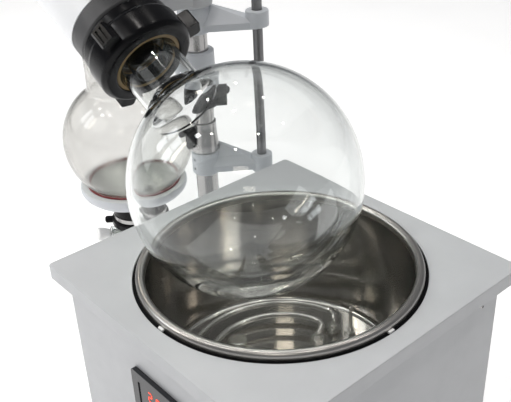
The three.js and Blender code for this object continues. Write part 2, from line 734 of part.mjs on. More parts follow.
function receiverGasket() {
  const [bottom, top] = [-167.5, -164.6];
  return atCondenser(turned([[77.8, bottom], [83, bottom], [83, top], [80.6, top], [77.8, bottom]], 28));
}

function supportCup() {
  const { z } = RECEIVER;
  const bowl = 118;
  const rim = -167.8;
  const rimAngle = THREE.MathUtils.radToDeg(Math.asin((rim - z) / bowl));
  const boreAngle = -THREE.MathUtils.radToDeg(Math.acos(17 / bowl));
  return atCondenser(turned([
    [17, -203], [56, -203], [84, -193], [93, -185], [96, -178], [96, -170], [94, rim],
    ...arc(0, z, bowl, rimAngle, boreAngle, 4), [17, -203],
  ], 28));
}

function outletClamp() {
  const body = turned([
    [0, -262], [44, -262], [47, -258], [47, -248], [38.6, -246], [38.6, -236], [42, -234],
    [42, -203.3], [0, -203.3],
  ], 24);
  const knob = aimed(turned([[0, 38], [6.5, 38], [7, 58], [5, 61], [0, 61]], 12),
    new THREE.Vector3(0, 0, -255), new THREE.Vector3(-0.643, -0.766, 0));
  return atCondenser(cut(join(body, knob), rod(17, -215, -200, 16), rod(8, -270, -210, 12)));
}

function outletBand() {
  return atCondenser(ring(39.2, 42.5, -245.4, -236.6, 24));
}

const VALVE_AT = new THREE.Vector3(RECEIVER.x, RECEIVER.y, VALVE_Z);

function drainValve() {
  const body = turned([
    [0, -318], [9, -318], [10.5, -314], [9, -308], [14, -302], [14, -274], [20, -270], [20, -262.3],
    [0, -262.3],
  ], 16);
  const branch = turned([[0, 0], [11, 0], [11, 42], [13.5, 44], [13.5, 54], [0, 54]], 16);
  const outlet = rod(5, -330, -282, 14);
  const socket = rod(5.6, 24, 60, 14);
  const inlet = rod(7, -282, -255, 14);
  return cut(
    join(atCondenser(body), aimed(branch, VALVE_AT, VALVE_DIR)),
    atCondenser(outlet), atCondenser(inlet), aimed(socket, VALVE_AT, VALVE_DIR));
}

function valveKnob() {
  return aimed(turned([
    [0, 30], [3, 30], [5, 36], [5, 56], [8.5, 58], [12, 69], [12.5, 79], [11.5, 81], [0, 81],
  ], 20), VALVE_AT, VALVE_DIR);
}

// ---------- assembly ----------
const FEET = [[160, -160], [160, 160], [-160, -160], [-400, 80], [-400, 220]];

add(model, "base_frame", baseFrame(), "whitePaint");
FEET.forEach(([x, y], index) => {
  add(model, `foot_${index + 1}`, foot().translate(x, y, 0), "rubber");
});
add(model, "cabinet_body", cabinetBody(), "whitePaint");
add(model, "cabinet_top", cabinetTop(), "whitePaint");
add(model, "rim_seal", rimSeal(), "rubber");
for (let index = 0; index < 4; index += 1) {
  add(model, `rim_tab_${index + 1}`, rimTab(index), "ptfe");
}
add(model, "bath_pot", bathPot(), "steel");
add(model, "heater_coil", heaterCoil(), "steel");
add(model, "temperature_probe", temperatureProbe(), "steel");
add(model, "drain_strainer", drainStrainer(), "steel");
add(model, "control_fascia", controlFascia(), "gloss");
add(model, "key_down", pushKey(KEY_X[0]), "greyPaint");
add(model, "key_up", pushKey(KEY_X[1]), "greyPaint");
add(model, "rocker_switch", rockerSwitch(), "black");
add(model, "speed_knob", speedKnob(), "black");
add(model, "mains_inlet", mainsInlet(), "black");

add(model, "column", column(), "steel");
add(model, "guide_rod", guideRod(), "steel");
add(model, "lower_bracket", lowerBracket(), "greyPaint");
add(model, "stop_collar", stopCollar(), "steel");
add(model, "collar_lever", collarLever(), "black");
add(model, "top_bracket", topBracket(), "greyPaint");
add(model, "lift_clamp", liftClamp(), "black");
add(model, "clamp_knob", clampKnob(), "black");
add(model, "condenser_arm", condenserArm(), "greyPaint");
add(model, "head_mount", headMount(), "whitePaint");

model.add(head);
add(head, "head_barrel", headBarrel(), "whitePaint");
add(head, "head_ring", headRing(), "darkPaint");
add(head, "front_bearing", bearing(300), "steel");
add(head, "rear_bearing", bearing(396), "steel");
add(head, "spindle", spindle(), "steel");
add(head, "spindle_pulley", spindlePulley(), "steel");
add(head, "motor_pulley", motorPulley(), "steel");
add(head, "drive_belt", driveBelt(), "rubber");
add(head, "drive_casing", driveCasing(), "whitePaint");
add(head, "casing_cover", casingCover(), "whitePaint");
add(head, "drive_motor", driveMotor(), "darkPaint");
add(head, "vapour_tube", vapourTube(), "glass");
add(head, "evaporating_flask", evaporatingFlask(), "glass");
add(head, "flask_gasket", flaskGasket(), "amber");
add(head, "flask_nut", flaskNut(), "black");

add(model, "vapour_elbow", vapourElbow(), "glass");
add(model, "condenser_jacket", condenserJacket(), "glass");
add(model, "condenser_coil", condenserCoil(), "glass");
add(model, "condenser_cap", condenserCap(), "ptfe");
add(model, "receiver_flask", receiverFlask(), "glass");
add(model, "receiver_clamp", receiverClamp(), "black");
add(model, "receiver_gasket", receiverGasket(), "gasket");
add(model, "support_cup", supportCup(), "ptfe");
add(model, "outlet_clamp", outletClamp(), "black");
add(model, "outlet_band", outletBand(), "chrome");
add(model, "drain_valve", drainValve(), "glass");
add(model, "valve_knob", valveKnob(), "ptfe");

// The origin is the bottom centre of the bounding box.
model.updateMatrixWorld(true);
const box = new THREE.Box3().setFromObject(model, true);
const middle = box.getCenter(new THREE.Vector3());
model.position.set(-middle.x, -middle.y, -box.min.z);

export default model;
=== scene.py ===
"""Looks of the rotary evaporator: finer bodies, materials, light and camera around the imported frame."""
import json
from math import acos, asin, atan2, cos, degrees, hypot, pi, radians, sin, sqrt

import bmesh
import bpy
from mathutils import Matrix, Quaternion, Vector


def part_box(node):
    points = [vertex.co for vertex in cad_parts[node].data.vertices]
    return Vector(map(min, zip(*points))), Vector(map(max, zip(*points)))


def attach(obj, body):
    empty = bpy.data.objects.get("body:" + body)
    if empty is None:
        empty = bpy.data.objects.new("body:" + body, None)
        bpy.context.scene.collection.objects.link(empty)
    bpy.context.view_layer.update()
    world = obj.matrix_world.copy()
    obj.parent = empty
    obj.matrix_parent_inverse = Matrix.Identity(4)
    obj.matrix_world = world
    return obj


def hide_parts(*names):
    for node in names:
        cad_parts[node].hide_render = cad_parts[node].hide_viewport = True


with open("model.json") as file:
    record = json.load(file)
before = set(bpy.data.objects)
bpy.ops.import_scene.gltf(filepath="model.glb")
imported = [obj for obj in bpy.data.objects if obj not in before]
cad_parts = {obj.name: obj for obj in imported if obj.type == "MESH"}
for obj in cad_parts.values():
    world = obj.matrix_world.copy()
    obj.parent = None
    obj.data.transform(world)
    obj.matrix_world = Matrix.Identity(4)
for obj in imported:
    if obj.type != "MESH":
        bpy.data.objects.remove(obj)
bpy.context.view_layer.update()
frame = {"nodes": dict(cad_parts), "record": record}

# ---------- frame and driving dimensions, in millimetres from the centre of the top plate ----------
MM = 0.001
plate_low, plate_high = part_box("cabinet_top")
ORIGIN = Vector(((plate_low.x + plate_high.x) / 2, (plate_low.y + plate_high.y) / 2, plate_high.z))
RECORD = frame["record"]
BODY_OF = {node: body for body, nodes in RECORD["behaviour"]["bodies"].items() for node in nodes}
SLOT_OF = {row["node"]: row["material_slot"] for row in RECORD["subparts"]}

GAP = 0.3                      # between pieces that touch
SIDES = 96                     # segments round a turned piece
FINE_SIDES = 176               # segments round a large turned piece
SOFT_ANGLE = 34                # degrees; a sharper edge isn't shaded smooth
FLOOR = -ORIGIN.z / MM
FOOT_H, BASE_H = 18, 20
PLATE = 400
LIP = 19
SHEET = 2
HOLE_R = 175
BODY_HALF = 184.4
BODY_Z0 = FLOOR + FOOT_H + BASE_H + GAP
POT_R, POT_DEPTH, RIM_R = 160, 168, 171
POT_SEAT = -POT_DEPTH + 0.4    # for the fittings on the bath's floor
SEAL_IN, SEAL_OUT = 163, HOLE_R - 0.4
COIL_Z, COIL_OUT, COIL_IN, COIL_TUBE = -147, 122, 95, 4
COLUMN_X, COLUMN_Y, COLUMN_R, COLUMN_TOP = -328, 142, 18, 500
COLUMN_BORE = COLUMN_R + 0.5   # in the pieces that slide or turn on the column
ROD_X, ROD_Y, ROD_R = -268, 211, 7.5
FLASK_X, AXIS_Y, FLASK_Z, AXIS_TILT = -49.6, -5, 98, 29
FLASK_R, FLASK_WALL, FLASK_NECK, FLASK_FLANGE = 139, 4, 40, 56
SPINDLE_R, SPINDLE_BORE, BARREL_R, BARREL_END, CASING_END = 38, 30, 62, 430, 470
VAPOUR_R, VAPOUR_WALL, VAPOUR_END = 24, 3, 488
MOTOR_OFFSET, SPINDLE_PULLEY_R, MOTOR_PULLEY_R = 115, 50, 20
PULLEY_Z0, PULLEY_Z1, PULLEY_FLANGE = 438, 456, 4.4
CASING_R, CASING_SMALL_R = 70, 46
RECEIVER_X, RECEIVER_Y, RECEIVER_Z, RECEIVER_R = -592, 162, -82, 115
RECEIVER_WALL, RECEIVER_NECK, FLANGE_R, JOINT_Z = 4, 58, 75, 140
OUTLET_BORE = 17               # in the pieces round the receiver's outlet
CONDENSER_TOP, CONDENSER_RIM, SIDE_PORT_Z, VALVE_Z = 560, FLANGE_R - 6, 385, -285
VALVE_DIR = Vector((-0.286, -0.939, 0.199)).normalized()
PANEL_X0, PANEL_X1, PANEL_Z0, PANEL_Z1, PANEL_DEPTH = -48, 112, -183, -73, 6
PANEL_FRONT = -BODY_HALF - GAP - PANEL_DEPTH
KNOB_X, KNOB_Z, SWITCH_X, SWITCH_Z = 84, -106, 84, -158
KEYS = {"key_down": -30, "key_up": 2}
KEY_Z = -160
DISPLAY_X0, DISPLAY_X1, DISPLAY_Z0, DISPLAY_Z1, DISPLAY_SINK = -36, 44, -134, -86, 1.2
DIGIT_ROWS, DIGIT_X, DIGIT_PITCH = (-104, -127), -14, 16
INLET_X, INLET_Z = -60, -300
EAR_HEADING, EAR_X, CLAMP_SCREW_Z, COLLAR_LEVER_Z = 50, 36, 93, 36


# ---------- solids: (points in millimetres, faces) ----------
def arc(cx, cy, r, start, end, steps):
    angles = [radians(start + (end - start) * i / steps) for i in range(steps + 1)]
    return [(cx + r * cos(a), cy + r * sin(a)) for a in angles]


def rounded(points, radius, closed=False):
    """The outline with each sharp corner replaced by a short curve."""
    steps, sharp = 3, 25
    count, result = len(points), []
    for i, point in enumerate(points):
        if not closed and i in (0, count - 1):
            result.append(tuple(point))
            continue
        here = Vector(point)
        before, after = Vector(points[i - 1]) - here, Vector(points[(i + 1) % count]) - here
        if min(before.length, after.length) < 1e-6 or degrees((-before).angle(after)) < sharp:
            result.append(tuple(point))
            continue
        start = here + before.normalized() * min(radius, 0.45 * before.length)
        end = here + after.normalized() * min(radius, 0.45 * after.length)
        for k in range(steps + 1):
            t = k / steps
            result.append(tuple(start * (1 - t) ** 2 + here * 2 * t * (1 - t) + end * t * t))
    return result


def lathe(profile, sides=SIDES, edge=0.0):
    """Body of revolution about Z from (radius, height) points, open ends on the axis or a closed loop."""
    closed = profile[0] == profile[-1] or min(profile[0][0], profile[-1][0]) > 1e-6
    points = profile[:-1] if profile[0] == profile[-1] else list(profile)
    if edge:
        points = rounded(points, edge, closed)
    verts, rings = [], []
    turn = 2 * pi / sides
    for r, z in points:
        spokes = 1 if r < 1e-6 else sides
        rings.append(range(len(verts), len(verts) + spokes))
        verts += [(r * cos(turn * k), r * sin(turn * k), z) for k in range(spokes)]
    pairs = list(zip(rings, rings[1:])) + ([(rings[-1], rings[0])] if closed else [])
    faces = []
    for a, b in pairs:
        for i in range(sides):
            j = (i + 1) % sides
            quad = [a[i % len(a)], a[j % len(a)], b[j % len(b)], b[i % len(b)]]
            faces.append(list(dict.fromkeys(quad)))
    return verts, [face for face in faces if len(face) > 2]


def rod(r, z0, z1, sides=SIDES, edge=0.0):
    return lathe([(0, z0), (r, z0), (r, z1), (0, z1)], sides, edge)


def ring(inner, outer, z0, z1, sides=SIDES, edge=0.4):
    return lathe([(inner, z0), (outer, z0), (outer, z1), (inner, z1), (inner, z0)], sides, edge)


def prism(outline, z0, z1):
    count = len(outline)
    verts = [(x, y, z) for z in (z0, z1) for x, y in outline]
    sides = [[i, (i + 1) % count, count + (i + 1) % count, count + i] for i in range(count)]
    return verts, [list(range(count))[::-1], list(range(count, 2 * count)), *sides]


def block(x0, x1, y0, y1, z0, z1):
    return prism([(x0, y0), (x1, y0), (x1, y1), (x0, y1)], z0, z1)


def slab(x, z, half_w, half_h, y0, y1):
    """A block about a centre in X and Z, from y0 to y1."""
    return block(x - half_w, x + half_w, y0, y1, z - half_h, z + half_h)


def rectangle(x0, x1, y0, y1, r, steps=6):
    return (arc(x1 - r, y0 + r, r, -90, 0, steps) + arc(x1 - r, y1 - r, r, 0, 90, steps)
            + arc(x0 + r, y1 - r, r, 90, 180, steps) + arc(x0 + r, y0 + r, r, 180, 270, steps))


def square(half, r):
    return rectangle(-half, half, -half, half, r)


def wrap(r0, r1, distance):
    """Outline round two circles, the larger at the origin and the other along +X."""
    steps = 36
    lean = degrees(acos((r0 - r1) / distance))
    return arc(0, 0, r0, lean, 360 - lean, steps) + arc(distance, 0, r1, -lean, lean, steps // 2)


def moved(solid, matrix):
    verts, faces = solid
    return [tuple(matrix @ Vector(v)) for v in verts], faces


def shift(solid, x=0, y=0, z=0):
    return moved(solid, Matrix.Translation((x, y, z)))


def spun(solid, angle, axis="Z"):
    return moved(solid, Matrix.Rotation(radians(angle), 4, axis))


def facing(direction):
    """The turn that takes +Z to the direction."""
    return Vector((0, 0, 1)).rotation_difference(Vector(direction)).to_matrix().to_4x4()


def aimed(solid, start, direction):
    return moved(solid, Matrix.Translation(start) @ facing(direction))


def smooth_path(points, steps):
    """Dense points of a Catmull-Rom curve through the given ones."""
    path = [Vector(p) for p in points]
    path = [2 * path[0] - path[1], *path, 2 * path[-1] - path[-2]]
    dense = []
    for a, b, c, d in zip(path, path[1:], path[2:], path[3:]):
        for k in range(steps):
            t = k / steps
            dense.append(0.5 * (2 * b + (c - a) * t + (2 * a - 5 * b + 4 * c - d) * t * t
                                + (3 * b - a - 3 * c + d) * t ** 3))
    return [*dense, path[-2]]


def tube(path, outer, inner=0.0, sides=24):
    """A round bar, or a pipe where inner is given, along dense points."""
    tangents = [(path[min(i + 1, len(path) - 1)] - path[max(i - 1, 0)]).normalized()
                for i in range(len(path))]
    side = tangents[0].orthogonal().normalized()
    rings = {outer: [], inner: []} if inner else {outer: []}
    verts = []
    for i, point in enumerate(path):
        if i:
            side = tangents[i - 1].rotation_difference(tangents[i]) @ side
        other = tangents[i].cross(side)
        for r, loops in rings.items():
            loops.append(range(len(verts), len(verts) + sides))
            for k in range(sides):
                a = 2 * pi * k / sides
                verts.append(tuple(point + r * (cos(a) * side + sin(a) * other)))
    pairs = [pair for loops in rings.values() for pair in zip(loops, loops[1:])]
    if inner:
        pairs += [(rings[outer][end], rings[inner][end]) for end in (0, -1)]
    faces = [[a[k], a[(k + 1) % sides], b[(k + 1) % sides], b[k]] for a, b in pairs for k in range(sides)]
    if not inner:
        faces += [list(rings[outer][end]) for end in (0, -1)]
    return verts, faces


def hull(points):
    """Convex body round the points."""
    work = bmesh.new()
    for point in points:
        work.verts.new(point)
    bmesh.ops.convex_hull(work, input=work.verts)
    kept = [vert for vert in work.verts if vert.link_faces]
    order = {vert: index for index, vert in enumerate(kept)}
    solid = [tuple(vert.co) for vert in kept], [[order[vert] for vert in face.verts] for face in work.faces]
    work.free()
    return solid


def new_object(name, data):
    thing = bpy.data.objects.new(name, data)
    bpy.context.scene.collection.objects.link(thing)
    return thing


def raw_object(solid, scale=1.0):
    mesh = bpy.data.meshes.new("work")
    verts, faces = solid
    mesh.from_pydata([[scale * c for c in v] for v in verts], [], faces)
    work = bmesh.new()
    work.from_mesh(mesh)
    bmesh.ops.recalc_face_normals(work, faces=work.faces)
    work.to_mesh(mesh)
    work.free()
    return new_object("work", mesh)


def combined(operation, base, tools):
    body = raw_object(base)
    others = [raw_object(tool) for tool in tools]
    for other in others:
        step = body.modifiers.new("combine", "BOOLEAN")
        step.operation, step.object, step.solver = operation, other, "EXACT"
    bpy.context.view_layer.update()
    shown = body.evaluated_get(bpy.context.evaluated_depsgraph_get())
    mesh = shown.to_mesh()
    result = [tuple(v.co) for v in mesh.vertices], [list(f.vertices) for f in mesh.polygons]
    shown.to_mesh_clear()
    for thing in [body, *others]:
        data = thing.data
        bpy.data.objects.remove(thing)
        bpy.data.meshes.remove(data)
    return result


def join(base, *tools):
    return combined("UNION", base, tools)


def cut(base, *tools):
    return combined("DIFFERENCE", base, tools)


# ---------- materials ----------
class Look:
    """A Principled material with helpers for procedural detail."""

    def __init__(self, name, color, roughness, metallic=0.0, **sockets):
        self.material = bpy.data.materials.new(name)
        self.material.use_nodes = True
        self.nodes, self.links = self.material.node_tree.nodes, self.material.node_tree.links
        self.shader = self.nodes["Principled BSDF"]
        self.output = self.nodes["Material Output"]
        self.set("Base Color", (*color, 1))
        self.set("Roughness", roughness)
        self.set("Metallic", metallic)
        for socket, value in sockets.items():
            self.set(socket.replace("_", " "), value)
        self.coordinates = self.nodes.new("ShaderNodeTexCoord").outputs["Object"]

    def set(self, socket, value):
        self.shader.inputs[socket].default_value = value

    def math(self, operation, a, b=None):
        node = self.nodes.new("ShaderNodeMath")
        node.operation = operation
        for slot, value in enumerate([a, b]):
            if hasattr(value, "links"):
                self.links.new(value, node.inputs[slot])
            elif value is not None:
                node.inputs[slot].default_value = value
        return node.outputs[0]

    def noise(self, scale, detail, vector=None):
        node = self.nodes.new("ShaderNodeTexNoise")
        node.inputs["Scale"].default_value = scale
        node.inputs["Detail"].default_value = detail
        self.links.new(vector or self.coordinates, node.inputs["Vector"])
        return node.outputs["Fac"]

    def split(self):
        """X, Y and Z in the piece's own frame, in metres."""
        node = self.nodes.new("ShaderNodeSeparateXYZ")
        self.links.new(self.coordinates, node.inputs[0])
        return node.outputs

    def round_coordinates(self, around):
        """Radius, angle times around, and height about the piece's own Z axis, as a texture vector."""
        x, y, z = self.split()
        squares = [self.math("MULTIPLY", value, value) for value in (x, y)]
        radius = self.math("SQRT", self.math("ADD", *squares))
        angle = self.math("MULTIPLY", self.math("ARCTAN2", y, x), around)
        pack = self.nodes.new("ShaderNodeCombineXYZ")
        for slot, value in enumerate([radius, angle, z]):
            self.links.new(value, pack.inputs[slot])
        return pack.outputs[0]

    def ranged(self, value, low, high, start=0.3, end=0.7):
        """The value taken from start-end to low-high; most noise lies between 0.3 and 0.7."""
        node = self.nodes.new("ShaderNodeMapRange")
        node.inputs["From Min"].default_value, node.inputs["From Max"].default_value = start, end
        node.inputs["To Min"].default_value, node.inputs["To Max"].default_value = low, high
        self.links.new(value, node.inputs["Value"])
        return node.outputs[0]

    def vary_roughness(self, value, low, high, start=0.3, end=0.7):
        self.links.new(self.ranged(value, low, high, start, end), self.shader.inputs["Roughness"])

    def vary_color(self, value, dark, light):
        node = self.nodes.new("ShaderNodeMix")
        node.data_type = "RGBA"
        node.inputs["A"].default_value, node.inputs["B"].default_value = (*dark, 1), (*light, 1)
        self.links.new(self.ranged(value, 0, 1), node.inputs["Factor"])
        self.links.new(node.outputs["Result"], self.shader.inputs["Base Color"])

    def bump(self, *layers):
        """Adds fine relief; each layer is (height, distance in metres)."""
        normal = None
        for height, distance in layers:
            node = self.nodes.new("ShaderNodeBump")
            node.inputs["Distance"].default_value = distance
            self.links.new(height, node.inputs["Height"])
            if normal:
                self.links.new(normal, node.inputs["Normal"])
            normal = node.outputs["Normal"]
        self.links.new(normal, self.shader.inputs["Normal"])


def paint(name, dark, light, roughness, grain, depth):
    look = Look(name, light, roughness, Coat_Weight=0.15, Coat_Roughness=0.3)
    look.vary_color(look.noise(14, 5), dark, light)
    look.vary_roughness(look.noise(60, 4), roughness - 0.05, roughness + 0.08)
    look.bump((look.noise(grain, 2), depth))
    return look.material


def plastic(name, color, roughness, grain=1400, depth=0.00002, specular=0.5):
    look = Look(name, color, roughness, Specular_IOR_Level=specular)
    look.vary_roughness(look.noise(45, 4), roughness - 0.06, roughness + 0.1)
    look.bump((look.noise(grain, 2), depth))
    return look.material


def turned_steel(name, color, roughness, waviness=0.0, lines=0.000004, rim=0.0, metallic=0.8):
    """Lathe-turned metal; where rim is given, it is the roughness from z = -1 mm upwards."""
    look = Look(name, color, roughness, metallic)
    darker = tuple(0.82 * c for c in color)
    look.vary_color(look.noise(9, 2), darker, color)
    if rim:
        height = look.split()[2]
        look.vary_roughness(height, roughness, rim, -0.004, -0.001)
    else:
        look.vary_roughness(look.noise(26, 6), roughness - 0.04, roughness + 0.09)
    layers = []
    if lines:
        layers.append((look.noise(900, 3, look.round_coordinates(around=0.01)), lines))
    if waviness:
        layers.append((look.noise(11, 2), waviness))
    look.bump(*layers)
    return look.material


def clear_glass(name, tint, density, smooth, hazy):
    """Glass that takes its colour from its thickness, and casts a pale shadow."""
    look = Look(name, (1, 1, 1), smooth, Transmission_Weight=1.0, IOR=1.47)
    look.vary_roughness(look.noise(22, 5), smooth, hazy)
    volume = look.nodes.new("ShaderNodeVolumeAbsorption")
    volume.inputs["Color"].default_value = (*tint, 1)
    volume.inputs["Density"].default_value = density
    look.links.new(volume.outputs[0], look.output.inputs["Volume"])
    through = look.nodes.new("ShaderNodeBsdfTransparent")
    through.inputs["Color"].default_value = (0.93, 0.95, 0.935, 1)
    mix = look.nodes.new("ShaderNodeMixShader")
    path = look.nodes.new("ShaderNodeLightPath")
    look.links.new(path.outputs["Is Shadow Ray"], mix.inputs[0])
    look.links.new(look.shader.outputs[0], mix.inputs[1])
    look.links.new(through.outputs[0], mix.inputs[2])
    look.links.new(mix.outputs[0], look.output.inputs["Surface"])
    return look.material


LOOKS = {
    "white_paint": paint("powder_coat", (0.51, 0.52, 0.535), (0.545, 0.555, 0.57), 0.42, 1100, 0.00003),
    "grey_paint": paint("cast_paint", (0.56, 0.585, 0.62), (0.64, 0.665, 0.70), 0.40, 420, 0.0001),
    "dark_paint": paint("dark_coat", (0.055, 0.055, 0.057), (0.075, 0.075, 0.078), 0.5, 900, 0.00004),
    "black_plastic": plastic("black_moulding", (0.006, 0.006, 0.007), 0.2, 900, 0.00001, 0.18),
    "rubber": plastic("rubber_black", (0.005, 0.005, 0.006), 0.65, 700, 0.00006, 0.08),
    "stainless": turned_steel("stainless_turned", (0.60, 0.585, 0.56), 0.11),
    "polished_steel": turned_steel("steel_polished", (0.54, 0.53, 0.525), 0.2),
    "glass": clear_glass("glass_clear", (0.815, 0.85, 0.835), 72, 0.0, 0.03),
    "red_silicone": plastic("silicone_red", (0.22, 0.03, 0.035), 0.45),
    "amber_seal": plastic("seal_amber", (0.23, 0.145, 0.035), 0.35),
    "white_plastic": plastic("fluoropolymer_white", (0.88, 0.88, 0.87), 0.38),
    "gloss_panel": plastic("panel_gloss", (0.012, 0.013, 0.017), 0.1, 200, 0.000004),
}
DUSTY_GLASS = clear_glass("glass_dusty", (0.80, 0.795, 0.775), 210, 0.04, 0.2)
POT_STEEL = turned_steel("stainless_pot", (0.63, 0.61, 0.58), 0.12, waviness=0.0003, lines=0, rim=0.3,
                         metallic=0.975)
# darker copy of the polished steel for the guide rod: painted shade standing in for the dark surroundings it
# reflects
ROD_STEEL_SHADED = turned_steel("steel_painted_dark_reflection", (0.21, 0.21, 0.215), 0.3)
# lighter copy of the white powder coat for the barrel, casing and cover: painted light that brightens the
# drive head
HEAD_PAINT_LIT = paint("head_coat_painted_light", (0.82, 0.83, 0.845), (0.86, 0.87, 0.885), 0.4, 1100, 0.00003)
CUP_PLASTIC = plastic("cup_moulding", (0.67, 0.69, 0.725), 0.4)


# ---------- pieces ----------
def at(x=0.0, y=0.0, z=0.0):
    return Matrix.Translation(ORIGIN + Vector((x, y, z)) * MM)


def bevelled(thing, width, segments, angle):
    edge = thing.modifiers.new("edge", "BEVEL")
    edge.width, edge.segments, edge.limit_method = width * MM, segments, "ANGLE"
    edge.angle_limit = radians(angle)


def show(name, solid, body, slot, place=None, bevel=0.0, material=None, smooth=SOFT_ANGLE):
    """Adds a visible piece that rides on a body; its shape is in millimetres in its own frame."""
    piece = raw_object(solid, MM)
    piece.name, piece.data.name = name, name
    mesh = piece.data
    mesh.shade_smooth()
    mesh.set_sharp_from_angle(angle=radians(smooth))
    mesh.materials.append(material or LOOKS[slot])
    piece.matrix_world = place or at()
    if bevel:
        bevelled(piece, bevel, 3, smooth)
    piece.modifiers.new("shading", "WEIGHTED_NORMAL").keep_sharp = True
    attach(piece, body)
    return piece


def fine(node, solid, place=None, bevel=0.0, material=None, smooth=SOFT_ANGLE):
    """A finer body that stands for a CAD node."""
    piece = show(f"{node}_fine", solid, BODY_OF[node], SLOT_OF[node], place, bevel, material, smooth)
    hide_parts(node)
    return piece


COLUMN_AT = at(COLUMN_X, COLUMN_Y)
CONDENSER_AT = at(RECEIVER_X, RECEIVER_Y)
HEAD_AT = at(FLASK_X, AXIS_Y, FLASK_Z) @ Matrix.Rotation(radians(AXIS_TILT - 90), 4, "Y")
MOTOR_AT = HEAD_AT @ Matrix.Translation((MOTOR_OFFSET * MM, 0, 0))
AXIS_DIR = Vector((-cos(radians(AXIS_TILT)), 0, sin(radians(AXIS_TILT))))


def axis_point(t):
    return Vector((FLASK_X, AXIS_Y, FLASK_Z)) + AXIS_DIR * t


def cross_recess(size, top, depth):
    arm = size / 3
    return join(block(-size, size, -arm, arm, top - depth, top + 1),
                block(-arm, arm, -size, size, top - depth, top + 1))


def screw(name, start, direction):
    """A pan-head screw with a cross recess."""
    r, sink, recess = 3.4, 1.2, 1.1
    dome = hypot(r, sink)
    head = lathe([(0, 0), (r, 0), *arc(0, -sink, dome, degrees(atan2(sink, r)), 90, 6)], 32)
    body = cut(head, cross_recess(r * 0.55, dome - sink, recess))
    show(name, aimed(body, start, direction), "stand", "polished_steel")


# ---------- cabinet and bath ----------
def cabinet():
    slot = spun(prism(rectangle(-60, 60, -2.2, 2.2, 2.1, 4), 0, 12), 90, "X")
    slots = [shift(slot, 20, BODY_HALF + 6, -150 - 14 * row) for row in range(9)]
    shell = cut(prism(square(BODY_HALF, 4), BODY_Z0, -SHEET - GAP),
                prism(square(BODY_HALF - SHEET, 3), BODY_Z0 - 1, 0), *slots)
    fine("cabinet_body", shell, bevel=0.5)
    half = PLATE / 2
    top = cut(prism(square(half, 5), -LIP, 0), prism(square(half - SHEET, 4), -LIP - 1, -SHEET),
              rod(HOLE_R, -LIP, 1, FINE_SIDES))
    fine("cabinet_top", top, bevel=0.9)
    out = BODY_HALF + 0.1
    spots = [(across, z) for z in (-322, -40) for across in (-150, 150)]
    for side, (x, y) in enumerate([(1, 0), (-1, 0), (0, 1)], 1):
        for index, (across, z) in enumerate(spots, 1):
            start = (x * out + across * abs(y), y * out + across * abs(x), z)
            screw(f"panel_screw_{side}_{index}", start, (x, y, 0))


def base_and_feet():
    node = frame["nodes"]["base_frame"]
    node.data.materials.clear()
    node.data.materials.append(LOOKS["white_paint"])
    bevelled(node, 0.7, 2, 40)
    top = FOOT_H - GAP
    puck = lathe([(0, 0), (12, 0), (12, 1), (15, 0), (17, 3), (16, 10), (14, top), (0, top)], 48, 0.8)
    for index in range(1, 6):
        low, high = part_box(f"foot_{index}")
        middle = (low + high) / 2 - ORIGIN
        fine(f"foot_{index}", shift(puck, z=FLOOR), at(middle.x / MM, middle.y / MM))


def rim_seal():
    fine("rim_seal", ring(SEAL_IN, SEAL_OUT, -12, -1.3, FINE_SIDES, 1.0))
    tab = block(RIM_R + GAP, SEAL_OUT, -4, 4, -1, 1.8)
    for index in range(4):
        fine(f"rim_tab_{index + 1}", spun(tab, 90 * index), bevel=0.6)


def bath_pot():
    wall, corner, bottom, rim_z = 1.6, 8, -POT_DEPTH, -1
    corner_x, corner_z = POT_R - corner, bottom + corner
    bead = (RIM_R - POT_R) / 2
    bead_x, bead_z = POT_R + bead, 3
    inside = [(0, bottom), (POT_R * 0.5, bottom), *arc(corner_x, corner_z, corner, -90, 0, 8),
              *[(POT_R, corner_z + 32 * step) for step in (1, 2, 3, 4)],
              *arc(bead_x, bead_z, bead, 180, 0, 16), (RIM_R, rim_z)]
    outside = [(RIM_R - wall, rim_z), *arc(bead_x, bead_z, bead - wall, 0, 180, 12),
               *arc(corner_x, corner_z, corner + wall, 0, -90, 8), (0, bottom - wall)]
    fine("bath_pot", lathe(inside + outside, FINE_SIDES), material=POT_STEEL)


def hex_nut(r, z0, z1):
    nut = rod(r, z0, z1, 6)
    dome = lathe([(0, z0 - 1), (r + 2, z0 - 1), (r + 2, z1 - 1.8), (r * 0.86, z1), (0, z1)], 48)
    return combined("INTERSECT", nut, [dome])


def heater_coil():
    out_foot, in_foot = (-14, 110), (-12, 76)
    middle = (COIL_OUT + COIL_IN) / 2
    crossing = radians(16)
    points = [(*out_foot, -165), (-14, 110.2, -158), (-14.8, 111.5, -152.5), (-19, 114.5, -148.6),
              (-25.5, 116.6, COIL_Z - 0.2),
              *[(x, y, COIL_Z) for x, y in arc(0, 0, COIL_OUT, 106, 368, 24)],
              (middle * cos(crossing), middle * sin(crossing), COIL_Z),
              *[(x, y, COIL_Z) for x, y in arc(0, 0, COIL_IN, 368, 110, 22)],
              (-21, 90.5, COIL_Z - 0.3), (-14.5, 86, -149), (-12, 79.5, -153), (-12, 76.3, -158),
              (*in_foot, -165)]
    body = tube(smooth_path(points, 6), COIL_TUBE)
    collar = lathe([(0, -160), (6.5, -160), (6.5, -157), (5, -155.5), (0, -155.5)], 32)
    for foot in (out_foot, in_foot):
        body = join(body, shift(hex_nut(9.5, POT_SEAT, -159.5), *foot), shift(collar, *foot))
    fine("heater_coil", body)


def temperature_probe():
    pin = lathe([(0, -162), (2.6, -162), *arc(0, -123.6, 2.6, 0, 90, 5)], 32)
    stem = lathe([(0, -161), (5, -161), (5, -158), (3.4, -156), (0, -156)], 32)
    fine("temperature_probe", shift(join(hex_nut(8.5, POT_SEAT, -160.5), stem, pin), 7, 120))


